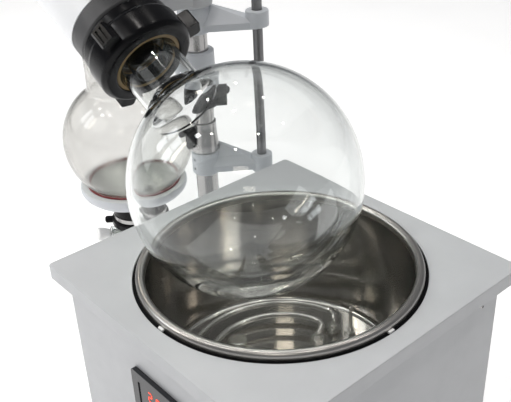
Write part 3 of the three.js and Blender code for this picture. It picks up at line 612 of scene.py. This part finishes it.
def drain_strainer():
    top = -POT_DEPTH + 6
    disc = lathe([(0, POT_SEAT), (13, POT_SEAT), (13, top - 1.5), (11, top), (0, top)], 64, 0.5)
    slots = [spun(block(-9, 9, -1.6, 1.6, top - 2.5, top + 1), angle) for angle in (0, 90)]
    fine("drain_strainer", shift(cut(disc, *slots), -87, -2), bevel=0.2)


# ---------- control panel ----------
SEGMENTS = {"2": "abged", "5": "afgcd", "0": "abcdef"}


def seven_segment(digit):
    """Raised bars of one digit, drawn in X and Z."""
    half, mid, bar, relief = 3.5, 6.5, 1.5, 0.4
    flat = {"a": (0, 2 * mid), "g": (0, mid), "d": (0, 0)}
    tall = {"f": (-half, 1.5 * mid), "b": (half, 1.5 * mid), "e": (-half, 0.5 * mid), "c": (half, 0.5 * mid)}
    verts, faces = [], []
    for key in SEGMENTS[digit]:
        x, z = flat.get(key) or tall[key]
        w, h = (half - bar * 0.6, bar / 2) if key in flat else (bar / 2, mid / 2 - bar * 0.6)
        points, sides = slab(x, z, w, h, -relief, 0.0)
        faces += [[len(verts) + i for i in face] for face in sides]
        verts += points
    return verts, faces


def upright(outline, y, depth):
    """A shape drawn in X and Z, running from y towards -Y."""
    return shift(spun(prism(outline, 0, depth), 90, "X"), 0, y, 0)


def fascia():
    back = -BODY_HALF - GAP
    depth = PANEL_DEPTH + 2

    def window(x, z, half_w, half_h):
        return upright(rectangle(x - half_w, x + half_w, z - half_h, z + half_h, 1), back + 1, depth)
    windows = [*[window(x, KEY_Z, 9, 5.5) for x in KEYS.values()], window(SWITCH_X, SWITCH_Z, 12, 7)]
    shaft = shift(spun(rod(4, 0, depth, 32), 90, "X"), KNOB_X, back + 1, KNOB_Z)
    recess = upright(rectangle(DISPLAY_X0, DISPLAY_X1, DISPLAY_Z0, DISPLAY_Z1, 2),
                     PANEL_FRONT + DISPLAY_SINK, 3)
    plate = upright(rectangle(PANEL_X0, PANEL_X1, PANEL_Z0, PANEL_Z1, 4), back, PANEL_DEPTH)
    fine("control_fascia", cut(plate, *windows, shaft, recess), bevel=0.6)


def display():
    glow = Look("display_digits", (0.25, 0.02, 0.01), 0.4,
                Emission_Color=(1, 0.08, 0.03, 1), Emission_Strength=1.4)
    glow.vary_color(glow.noise(300, 2), (0.22, 0.02, 0.01), (0.3, 0.03, 0.015))
    for index, digit in enumerate("250"):
        x = DIGIT_X + DIGIT_PITCH * index
        for row, z in enumerate(DIGIT_ROWS, 1):
            bars = shift(seven_segment(digit), x, PANEL_FRONT + DISPLAY_SINK, z)
            show(f"digit_{row}_{index + 1}", bars, "stand", "gloss_panel", material=glow.material)


def dial_ticks():
    relief = 0.25
    for index in range(11):
        tick = spun(block(17.5, 21, -0.4, 0.4, -relief, 0.0), 230 - 28 * index)
        tick = shift(spun(tick, 90, "X"), KNOB_X, PANEL_FRONT - relief, KNOB_Z)
        show(f"dial_tick_{index + 1:02d}", tick, "stand", "white_plastic")


def keys():
    face = PANEL_FRONT - 2.4
    for node, x in KEYS.items():
        fine(node, slab(x, KEY_Z, 8.5, 5, face, face + 6), bevel=0.9)
        way = 1 if node == "key_up" else -1
        mark = [(x - 2.6, KEY_Z - 1.6 * way), (x + 2.6, KEY_Z - 1.6 * way), (x, KEY_Z + 2.4 * way)]
        show(f"{node}_arrow", upright(mark[::way], face + 0.05, 0.25), node, "black_plastic")


def rocker():
    r, half = 6.5, 11.5
    barrel = spun(rod(r, -half, half, 64, 0.8), 90, "Y")
    grooves = [slab(0, z, half + 0.5, 0.3, -r - 1, -r + 0.5) for z in (-1.6, 0, 1.6)]
    fine("rocker_switch", shift(cut(barrel, *grooves), SWITCH_X, -BODY_HALF - 0.5 - r, SWITCH_Z))


def speed_knob():
    knob = lathe([(0, -3), (3.6, -3), (3.6, 0.4), (15, 0.4), (15, 4), (13, 5), (12, 15), (10.5, 16.5),
                  (0, 16.5)], 72, 0.7)
    ribs = [spun(block(12.2, 16, -0.5, 0.5, 6, 18), 15 * k) for k in range(24)]
    pointer = block(-1, 1, 5, 12.4, 5, 17.2)
    body = join(cut(knob, *ribs), pointer)
    fine("speed_knob", spun(body, 90, "X"), at(KNOB_X, PANEL_FRONT, KNOB_Z), smooth=30)


def mains_socket():
    back, half_w, half_h = BODY_HALF + GAP, 18, 13
    front, bottom = back + 14, back + 3
    body = cut(slab(INLET_X, INLET_Z, half_w, half_h, back, front),
               slab(INLET_X, INLET_Z, half_w - 5, half_h - 4.5, bottom, front + 1))
    fine("mains_inlet", body, bevel=1.0)
    for index, (x, z) in enumerate([(-7, -2), (0, 3), (7, -2)], 1):
        pin = slab(INLET_X + x, INLET_Z + z, 1, 2, bottom, bottom + 8)
        show(f"inlet_pin_{index}", pin, "stand", "stainless", bevel=0.3)


# ---------- column, rod and brackets ----------
REACH = hypot(ROD_X - COLUMN_X, ROD_Y - COLUMN_Y)
ROD_HEADING = degrees(atan2(ROD_Y - COLUMN_Y, ROD_X - COLUMN_X))


def ribbed_web(base, ridge):
    """A flat foot, with a ridge whose height is given at the column and at the rod."""
    flange, wide, narrow, ridge_y = 10, 20, 13, 11
    corners = [(x, y) for x, half in ((0, wide), (REACH, narrow)) for y in (-half, half)]
    points = [(x, y, z) for x, y in corners for z in (base, base + flange)]
    return hull([*points, (0, ridge_y, ridge[0]), (REACH, ridge_y, ridge[1])])


def bracket(on_column, on_rod, base, ridge, neighbour_r, clearance):
    """A boss on the column and one on the rod, each from a lower to an upper z, and the web between them."""
    solid = join(rod(23, *on_column, SIDES, 2), shift(rod(17, *on_rod, SIDES, 2), REACH),
                 ribbed_web(base, ridge))
    solid = cut(solid, rod(neighbour_r, on_column[1], on_column[1] + 40),
                rod(COLUMN_R + clearance, on_column[0] - 5, on_column[1] + 5),
                shift(rod(ROD_R + clearance, on_rod[0] - 5, on_rod[1] + 5, 48), REACH))
    return spun(solid, ROD_HEADING)


def stand_column():
    inner, cap = COLUMN_R - 3, 4
    tube_profile = [(0, COLUMN_TOP), (COLUMN_R, COLUMN_TOP), (COLUMN_R, BODY_Z0), (inner, BODY_Z0),
                    (inner, COLUMN_TOP - cap), (0, COLUMN_TOP - cap)]
    fine("column", lathe(tube_profile, SIDES, 1.5), COLUMN_AT)
    fine("guide_rod", rod(ROD_R, -50, COLUMN_TOP, 48, 1.0), at(ROD_X, ROD_Y), material=ROD_STEEL_SHADED)
    bore = COLUMN_R + 0.4
    collar = [(bore, -6.2), (21, -6.2), (22.5, -4), (22.5, 12), (20.5, 28), (20.5, 46), (bore, 46),
              (bore, -6.2)]
    fine("stop_collar", lathe(collar, SIDES, 0.8), COLUMN_AT)


def brackets():
    screw_heights = (-18, -34)
    holes = [shift(spun(rod(2.2, 0, 6, 24), 90, "X"), 0, -19.5, z) for z in screw_heights]
    lower = cut(bracket((-44.5, -6.5), (-46, -16.5), -40, (13, -36), 24, 0.4), *holes)
    fine("lower_bracket", lower, COLUMN_AT, bevel=1.2)
    socket = spun(cut(rod(1.9, 0, 2.6, 24, 0.3), rod(1.1, 1.0, 4, 6)), 90, "X")
    for index, z in enumerate(screw_heights):
        show(f"set_screw_{index + 1}", shift(socket, 0, -19.2, z), "stand", "black_plastic", COLUMN_AT)
    fine("top_bracket", bracket((181, 220), (186, 210), 184.5, (226, 197), 30, 0.5), COLUMN_AT, bevel=1.2)


def collar_lever():
    stem = lathe([(0, 0), (5.5, 0), (5.5, 25), (4, 28), (0, 28)], 48, 1.2)
    drop, half = 24, 7
    paddle = join(block(-half, half, -drop, 0, 3, 12), shift(rod(half, 3, 12, 48), 0, -drop, 0))
    place = at(COLUMN_X, COLUMN_Y - 21, COLLAR_LEVER_Z)
    fine("collar_lever", spun(join(stem, paddle), 90, "X"), place, bevel=1.2)


def lift_clamp():
    ear_at = COLUMN_AT @ Matrix.Rotation(radians(EAR_HEADING), 4, "Z")
    z0, z1 = 74, 111.7
    band = lathe([(0, z0), (25, z0), (27, z0 + 3), (27, z1 - 3), (25, z1), (0, z1)], SIDES, 0.8)
    ear = block(20, 40, -11, 11, z0 + 1, z1 - 2)
    slit = block(17, 50, -1, 1, z0 - 5, z1 + 5)
    fine("lift_clamp", cut(join(band, ear), rod(COLUMN_BORE, z0 - 5, z1 + 5), slit), ear_at, bevel=0.9)
    knob = lathe([(0, 11.4), (5, 11.4), (5, 14), (8, 15), (8.5, 17), (8.5, 25), (7, 27), (0, 27)], 48, 0.6)
    flutes = [spun(shift(rod(1.2, 15.5, 30, 16), 9), 30 * k) for k in range(12)]
    fine("clamp_knob", shift(spun(cut(knob, *flutes), -90, "X"), EAR_X, 0, CLAMP_SCREW_Z), ear_at)


def condenser_arm():
    z0, z1 = 112, 154
    low, high = (120, 146), (JOINT_Z + 17, JOINT_Z + 43)
    reach = hypot(RECEIVER_X - COLUMN_X, RECEIVER_Y - COLUMN_Y)
    heading = atan2(RECEIVER_Y - COLUMN_Y, RECEIVER_X - COLUMN_X)
    neck, hoop, half = RECEIVER_NECK + 0.8, RECEIVER_NECK + 13, 11
    riser = reach - 112, reach - 90
    lug = block(reach + hoop - 4, reach + hoop + 16, -12, 12, high[0] + 2, high[1] - 2)
    solid = join(rod(26.5, z0, z1, SIDES, 2), block(15, riser[1], -half, half, *low),
                 block(*riser, -half, half, low[0], high[1]),
                 block(riser[0], reach - neck, -half, half, *high),
                 shift(rod(hoop, *high), reach), lug)
    through = high[0] - 5, high[1] + 5
    slit = block(reach + 50, reach + hoop + 20, -2, 2, *through)
    solid = cut(solid, rod(COLUMN_BORE, z0 - 5, z1 + 5), shift(rod(neck, *through), reach), slit)
    fine("condenser_arm", solid, COLUMN_AT @ Matrix.Rotation(heading, 4, "Z"), bevel=1.2)


# ---------- drive head ----------
def head_mount():
    z0, z1 = 220.3, 300
    boss = rod(29, z0, z1, SIDES, 4)
    neck = block(-24, 24, 58 - COLUMN_Y, -10, z0 + 6, z1 - 6)
    saddle = block(-42, 38, 34 - COLUMN_Y, 72 - COLUMN_Y, z0 + 2, z1 - 4)
    start = axis_point(180) - Vector((COLUMN_X, COLUMN_Y, 0))
    barrel = aimed(rod(BARREL_R + 2 * GAP, 0, 300), start, AXIS_DIR)
    solid = cut(join(boss, neck, saddle), barrel, rod(COLUMN_BORE, z0 - 5, z1 + 5))
    fine("head_mount", solid, COLUMN_AT, bevel=1.5)


def barrel_and_spindle():
    seam = 286
    barrel = ring(56, BARREL_R, seam + GAP, BARREL_END, FINE_SIDES, 0.8)
    fine("head_barrel", barrel, HEAD_AT, material=HEAD_PAINT_LIT)
    nose = [(45, 259), (59, 259), (61.5, 262), (61.5, seam), (45, seam), (45, 259)]
    fine("head_ring", lathe(nose, FINE_SIDES, 1.0), HEAD_AT)
    for node, t in (("front_bearing", 300), ("rear_bearing", 396)):
        fine(node, ring(SPINDLE_R + 0.5, 55.6, t, t + 18), HEAD_AT)
    bore, flange, front, end = SPINDLE_BORE, FLASK_FLANGE, 228, 462
    profile = [(bore, front), (flange, front), (flange, front + 10), (SPINDLE_R, front + 12),
               (SPINDLE_R, end), (bore, end), (bore, front)]
    fine("spindle", lathe(profile, SIDES, 0.8), HEAD_AT)


def pulley(bore, r):
    """Profile of a flanged pulley with a groove for the belt."""
    groove, z0, z1 = r - 5, PULLEY_Z0 + PULLEY_FLANGE, PULLEY_Z1 - PULLEY_FLANGE
    return [(bore, PULLEY_Z0), (r, PULLEY_Z0), (r, z0), (groove, z0), (groove, z1), (r, z1), (r, PULLEY_Z1),
            (bore, PULLEY_Z1)]


def belt_drive():
    profile = pulley(SPINDLE_R + GAP, SPINDLE_PULLEY_R)
    fine("spindle_pulley", lathe([*profile, profile[0]], SIDES, 0.4), HEAD_AT)
    shaft = [(0, 419), (6, 419), (6, PULLEY_Z0), *pulley(0, MOTOR_PULLEY_R)[1:]]
    fine("motor_pulley", lathe(shaft, 64, 0.4), MOTOR_AT)
    z0, z1 = PULLEY_Z0 + 5, PULLEY_Z1 - 5
    outer, inner = [wrap(SPINDLE_PULLEY_R + out, MOTOR_PULLEY_R + out, MOTOR_OFFSET) for out in (1, -3.4)]
    fine("drive_belt", cut(prism(outer, z0, z1), prism(inner, z0 - 3, z1 + 3)), HEAD_AT)


def casing_outline(wall=0):
    return wrap(CASING_R - wall, CASING_SMALL_R - wall, MOTOR_OFFSET)


def head_casing():
    wall, z0 = 3, BARREL_END + GAP
    through = z0 - 1, z0 + wall + 1
    solid = cut(prism(casing_outline(), z0, CASING_END),
                prism(casing_outline(wall), z0 + wall, CASING_END + 1),
                rod(SPINDLE_R + 2, *through), shift(rod(8, *through, 48), MOTOR_OFFSET))
    fine("drive_casing", solid, HEAD_AT, 1.6, HEAD_PAINT_LIT)
    z0 = CASING_END + GAP
    cover = join(prism(casing_outline(), z0, z0 + 4), rod(34, z0 + 3, z0 + 12, SIDES, 1.5))
    fine("casing_cover", cut(cover, rod(VAPOUR_R + 0.6, z0 - 5, z0 + 20)), HEAD_AT, 1.2, HEAD_PAINT_LIT)


def motor():
    end = BARREL_END
    fins = [ring(36, 45, 330 + 9 * k, 334 + 9 * k, SIDES, 0) for k in range(8)]
    can = join(rod(34, 302, end, SIDES, 3), rod(38, 306, end - 12, SIDES, 1.5))
    fine("drive_motor", cut(can, *fins, rod(6.6, 417, end + 5, 48)), MOTOR_AT, bevel=0.4)


def vapour_path():
    """Makes the inner tube and the elbow; returns the side port's direction and reach."""
    fine("vapour_tube", ring(VAPOUR_R - VAPOUR_WALL, VAPOUR_R, 196, VAPOUR_END, SIDES, 1.2), HEAD_AT)
    heading = atan2(AXIS_Y - RECEIVER_Y, axis_point(VAPOUR_END).x - RECEIVER_X)
    port = Vector((cos(heading), sin(heading), 0))
    reach = RECEIVER_NECK + 24
    end = Vector((RECEIVER_X, RECEIVER_Y, SIDE_PORT_Z)) + port * (reach + 1)
    lead = 10
    a, b = axis_point(VAPOUR_END + 2 * lead), axis_point(VAPOUR_END + 65)
    c, d = end + port * 60, end + port * 2 * lead
    bend = []
    for k in range(41):
        t = k / 40
        bend.append(a * (1 - t) ** 3 + b * 3 * t * (1 - t) ** 2 + c * 3 * t * t * (1 - t) + d * t ** 3)
    path = [axis_point(VAPOUR_END + 1), axis_point(VAPOUR_END + lead), *bend, end + port * lead, end]
    fine("vapour_elbow", tube(path, VAPOUR_R, VAPOUR_R - VAPOUR_WALL, 64))
    return port, reach


# ---------- rotating glass ----------
def fillet_centre(x, distance):
    """Angle and height at which a fillet's centre, at x, is that distance from a ball's centre."""
    return degrees(acos(x / distance)), sqrt(distance ** 2 - x ** 2)


def evaporating_flask():
    r, wall, neck, flange, fillet = FLASK_R, FLASK_WALL, FLASK_NECK, FLASK_FLANGE, 16
    turn_x = neck + fillet
    meet, turn_z = fillet_centre(turn_x, r + fillet)
    # the inner fillet sits a wall's thickness higher, so the wall thins where the neck meets the ball
    inner_meet, inner_turn_z = fillet_centre(turn_x, r + wall + fillet)
    rim = rounded([(neck, 200), (neck + 1, 206), (neck + 5, 210.5), (flange - 6, 212.8), (flange, 215),
                   (flange, 224), (neck - wall, 224), (neck - wall, 200)], 1.6)
    outside = [*arc(0, 0, r, -90, meet, 72), *arc(turn_x, turn_z, fillet, 180 + meet, 180, 14)[1:]]
    inside = [*arc(turn_x, inner_turn_z, fillet + wall, 180, 180 + inner_meet, 14),
              *arc(0, 0, r - wall, inner_meet, -90, 72)]
    profile = [(0, -r), *outside[1:], *rim, *inside[:-1], (0, -(r - wall))]
    fine("evaporating_flask", lathe(profile, FINE_SIDES), HEAD_AT, smooth=60)
    fine("flask_gasket", ring(neck - 3, flange - 0.5, 224.3, 227.7, SIDES, 0.8), HEAD_AT)


def flask_nut():
    sleeve = lathe([(46.6, 203), (60, 203), (66, 209), (66, 239), (63, 243), (63, 257), (57, 257), (57, 212),
                    (49, 212), (46.6, 209), (46.6, 203)], FINE_SIDES, 2.4)
    wing = prism([(60, -11), (80, -11), (83, -8), (83, 8), (80, 11), (60, 11)], 212, 238)
    grooves = [block(80.5, 85, y - 1.2, y + 1.2, 215, 235) for y in (-3.4, 3.4)]
    wing = cut(wing, *grooves, rod(59, 205, 245, 64))
    wings = [spun(wing, 68 + 120 * index) for index in range(3)]
    fine("flask_nut", join(sleeve, *wings), HEAD_AT, bevel=0.9)
    seal = [(41.4, 205), (46.2, 205), (46.2, 209.6), (44.9, 209.6), (41.7, 205.9), (41.4, 205)]
    show("neck_split_ring", lathe(seal, SIDES, 0.4), "rotor", "amber_seal", HEAD_AT)


# ---------- condenser and receiver ----------
def condenser_jacket(port, reach):
    outer, inner, rim = RECEIVER_NECK, RECEIVER_NECK - RECEIVER_WALL, CONDENSER_RIM
    z0, z1 = JOINT_Z + GAP, CONDENSER_TOP
    shell = lathe([(inner, z0), (FLANGE_R, z0), (FLANGE_R, z0 + 8), (outer, z0 + 13), (outer, z1 - 12),
                   (rim, z1 - 7), (rim, z1), (inner, z1), (inner, z0)], SIDES, 1.5)
    axis = (0, 0, SIDE_PORT_Z)
    stub = aimed(rod(VAPOUR_R, 50, reach, 64, 1.0), axis, port)
    bore = aimed(rod(VAPOUR_R - VAPOUR_WALL, 48, reach + 5, 64), axis, port)
    fine("condenser_jacket", cut(join(shell, stub), bore, rod(inner, z0 - 5, z1 + 5)), CONDENSER_AT)


def condenser_coil():
    radius, high, low, turns, steps = 40, 520, 185, 8, 12
    end = CONDENSER_TOP - 3
    helix = []
    for i in range(turns * steps + 1):
        a = 2 * pi * i / steps
        helix.append((radius * cos(a), radius * sin(a), high + (low - high) * i / (turns * steps)))
    path = [(radius, 0, end), (radius, 0, high + 16), *helix,
            (24, 14, low - 14), (4, 4, low - 8), (0, 0, low + 20), (0, 0, 350), (0, 0, end)]
    fine("condenser_coil", tube(smooth_path(path, 4), 5, sides=16), CONDENSER_AT)


def condenser_cap():
    rim, z = CONDENSER_RIM, CONDENSER_TOP + GAP
    lid = lathe([(0, z), (rim, z), (rim, z + 8), (60, z + 12), (30, z + 26), (14, z + 30), (10, z + 32),
                 (10, z + 52), (12, z + 54), (12, z + 58), (0, z + 58)], SIDES, 1.6)
    barb = lathe([(0, 0), (7, 0), (6, 12), (7.4, 14), (6, 20), (7.4, 22), (6, 28), (7.5, 30), (5.5, 36),
                  (0, 36)], 48, 0.5)
    barbs = [shift(spun(barb, 35 * side, "Y"), 40 * side, 0, z + 16) for side in (1, -1)]
    grips = [spun(block(67.6, 72, -1, 1, z + 1, z + 7), 15 * k) for k in range(24)]
    fine("condenser_cap", join(cut(lid, *grips), *barbs), CONDENSER_AT)


def receiver_flask():
    r, wall, neck, z = RECEIVER_R, RECEIVER_WALL, RECEIVER_NECK, RECEIVER_Z
    inner, fillet, outlet, outlet_z = r - wall, 12, 16, -214
    turn_x = neck + fillet
    meet, turn_z = fillet_centre(turn_x, r + fillet)
    turn_z += z
    leave, inner_leave = degrees(acos(outlet / r)), degrees(acos((outlet - wall) / inner))
    rim = rounded([(neck, JOINT_Z - 18), (neck, JOINT_Z - 13), (FLANGE_R, JOINT_Z - 8), (FLANGE_R, JOINT_Z),
                   (neck - wall, JOINT_Z), (neck - wall, JOINT_Z - 14)], 1.5)
    profile = [(outlet, outlet_z), *arc(0, z, r, -leave, meet, 60),
               *arc(turn_x, turn_z, fillet, 180 + meet, 180, 12)[1:], *rim,
               *arc(turn_x, turn_z, fillet + wall, 180, 180 + meet, 12),
               *arc(0, z, inner, meet, -inner_leave, 60)[1:], (outlet - wall, outlet_z)]
    solid = lathe([*profile, profile[0]], FINE_SIDES)
    fine("receiver_flask", solid, CONDENSER_AT, material=DUSTY_GLASS, smooth=60)
    gasket = [(77.8, -167.5), (83, -167.5), (83, -164.6), (80.6, -164.6), (77.8, -167.5)]
    fine("receiver_gasket", lathe(gasket, SIDES, 0.5), CONDENSER_AT)


def receiver_clamp():
    lip, seat, outer = 68, FLANGE_R + 0.6, 84
    z0, z1 = JOINT_Z - 13.5, JOINT_Z + 13.8
    band = lathe([(lip, z0), (outer, z0), (outer, z1), (lip, z1), (seat, JOINT_Z + 9),
                  (seat, JOINT_Z - 8.7), (lip, z0)], SIDES, 1.4)
    lug = block(outer - 3, outer + 18, -13, 13, z0 + 4, z1 - 4)
    slit = block(60, outer + 30, -3, 3, z0 - 1, z1 + 1)
    clamp = cut(join(band, lug), slit, rod(seat, z0 + 5, z1 - 5))
    fine("receiver_clamp", spun(clamp, 150), CONDENSER_AT, bevel=0.8)


def support_cup():
    bowl, rim, foot = 118, -167.8, -203
    rim_angle = degrees(asin((rim - RECEIVER_Z) / bowl))
    bore_angle = -degrees(acos(OUTLET_BORE / bowl))
    edge = rounded([(OUTLET_BORE, foot), (56, foot), (84, -193), (93, -185), (96, -178), (96, -170),
                    (94, rim)], 3)
    inside = arc(0, RECEIVER_Z, bowl, rim_angle, bore_angle, 24)
    fine("support_cup", lathe([*edge, *inside, edge[0]], SIDES), CONDENSER_AT, material=CUP_PLASTIC)


def outlet_clamp():
    body = lathe([(0, -262), (44, -262), (47, -258), (47, -248), (38.6, -246), (38.6, -236), (42, -234),
                  (42, -203.3), (0, -203.3)], SIDES, 0.8)
    knob = lathe([(0, 38), (6.5, 38), (7, 58), (5, 61), (0, 61)], 48, 1.5)
    knob = aimed(knob, (0, 0, -255), (-0.643, -0.766, 0))
    bores = rod(OUTLET_BORE, -215, -200), rod(8, -270, -210, 48)
    fine("outlet_clamp", cut(join(body, knob), *bores), CONDENSER_AT)
    fine("outlet_band", ring(39.2, 42.5, -245.4, -236.6, SIDES, 0.8), CONDENSER_AT)


def drain_valve():
    start = (0, 0, VALVE_Z)
    stem = lathe([(0, -318), (9, -318), (10.5, -314), (9, -308), (14, -302), (14, -274), (20, -270),
                  (20, -262.3), (0, -262.3)], 64, 1.2)
    branch = lathe([(0, 0), (11, 0), (11, 42), (13.5, 44), (13.5, 54), (0, 54)], 64, 1)
    bores = [rod(5, -330, -282, 40), rod(7, -282, -255, 40), aimed(rod(5.6, 24, 60, 40), start, VALVE_DIR)]
    fine("drain_valve", cut(join(stem, aimed(branch, start, VALVE_DIR)), *bores), CONDENSER_AT)
    grip = lathe([(0, 30), (3, 30), (5, 36), (5, 56), (8.5, 58), (12, 69), (12.5, 79), (11.5, 81),
                  (0, 81)], 64, 1)
    ribs = [spun(block(12.0, 14, -0.7, 0.7, 70, 79), 20 * k) for k in range(18)]
    fine("valve_knob", cut(grip, *ribs), at(RECEIVER_X, RECEIVER_Y, VALVE_Z) @ facing(VALVE_DIR))


# ---------- stage, light and camera ----------
def floor():
    size = 40
    look = Look("studio_floor", (0.9, 0.9, 0.9), 0.7, Emission_Color=(1, 1, 1, 1), Emission_Strength=0.32)
    look.vary_color(look.noise(3, 2), (0.88, 0.88, 0.88), (0.92, 0.92, 0.92))
    corners = [(x, y, 0) for x, y in ((-size, -size), (size, -size), (size, size), (-size, size))]
    mesh = bpy.data.meshes.new("studio_floor")
    mesh.from_pydata(corners, [], [[0, 1, 2, 3]])
    mesh.materials.append(look.material)
    new_object("studio_floor", mesh)


def aim_along(thing, direction):
    thing.rotation_mode = "QUATERNION"
    thing.rotation_quaternion = Vector(direction).to_track_quat("-Z", "Y")


PLATE_CENTRE = Vector((0, 0, 0))
COOL, WARM, WARMER, NEUTRAL = (0.93, 0.96, 1.0), (1, 0.96, 0.92), (1, 0.92, 0.8), (1, 1, 1)


def lamp(name, place, size, watts, color=NEUTRAL, glossy=True, target=PLATE_CENTRE):
    """An area lamp, placed in metres from the plate's centre; with glossy off, nothing mirrors it."""
    data = bpy.data.lights.new(name, "AREA")
    data.shape, data.size, data.size_y = "RECTANGLE", *size
    data.energy, data.color = watts, color
    light = new_object(name, data)
    light.location = ORIGIN + Vector(place)
    light.visible_glossy = glossy
    aim_along(light, Vector(target) - Vector(place))


def world_light():
    world = bpy.data.worlds.new("studio")
    bpy.context.scene.world = world
    world.use_nodes = True
    sky = world.node_tree.nodes["Background"]
    sky.inputs["Color"].default_value = (0.80, 0.82, 0.86, 1)
    sky.inputs["Strength"].default_value = 0.17


def lamps():
    lamp("ceiling", (-0.8, 1.0, 2.9), (4.6, 4.6), 72, glossy=False)
    lamp("front_fill", (1.2, -3.2, 1.2), (2.4, 1.8), 1.2, glossy=False)
    for column in range(2):
        for row in range(2):
            place = (-2.1 + 0.42 * column, -1.5 - 0.42 * column, 1.15 + 0.62 * row)
            lamp(f"window_{column}_{row}", place, (0.34, 0.5), 2.6, COOL)
    lamp("side_fill", (-2.9, -1.1, 0.7), (1.6, 1.2), 14, glossy=False)
    lamp("nut_light", (-0.95, -1.76, 2.62), (0.22, 0.22), 3.0)
    lamp("head_fill", (-0.55, -0.75, 0.65), (0.5, 0.5), 1.8, glossy=False, target=AXIS_DIR * 0.35)
    lamp("high_light", (1.66, -1.66, 1.95), (0.7, 0.3), 2.4, (1, 0.93, 0.82))
    lamp("back_strip", (-2.55, 0.3, 1.75), (0.12, 1.0), 4.0, WARMER)
    lamp("front_strip", (-1.35, -2.1, 1.6), (0.12, 1.0), 4.0, WARMER)
    for row in range(3):
        for column in range(3):
            x, y, z = -1.5 + 1.2 * column, -1.2 + 1.1 * row, 2.3
            lamp(f"downlight_{row}_{column}", (x, y, z), (0.07, 0.07), 3.2, WARM, target=(x, y, z - 1))


AZIMUTH, ELEVATION, ROLL = 49.96, 29.76, -2.58      # degrees
CAMERA_PLACE = Vector((0.599, -0.53605, 0.549))     # metres from the plate's centre
LENS, FILM = 57.29, 36                              # millimetres


def camera():
    data = bpy.data.cameras.new("camera")
    data.lens, data.sensor_width = LENS, FILM
    data.clip_start = 0.02
    eye = new_object("camera", data)
    a, e = radians(AZIMUTH), radians(ELEVATION)
    aim_along(eye, -Vector((sin(a) * cos(e), -cos(a) * cos(e), sin(e))))
    eye.rotation_quaternion = eye.rotation_quaternion @ Quaternion((0, 0, 1), radians(ROLL))
    eye.location = ORIGIN + CAMERA_PLACE
    bpy.context.scene.camera = eye
    bpy.context.scene.view_settings.view_transform = "Standard"


floor()
world_light()
lamps()
camera()
base_and_feet()
cabinet()
rim_seal()
bath_pot()
heater_coil()
temperature_probe()
drain_strainer()
fascia()
display()
dial_ticks()
keys()
rocker()
speed_knob()
mains_socket()
stand_column()
brackets()
collar_lever()
lift_clamp()
condenser_arm()
head_mount()
barrel_and_spindle()
belt_drive()
head_casing()
motor()
condenser_jacket(*vapour_path())
condenser_coil()
condenser_cap()
evaporating_flask()
flask_nut()
receiver_flask()
receiver_clamp()
support_cup()
outlet_clamp()
drain_valve()
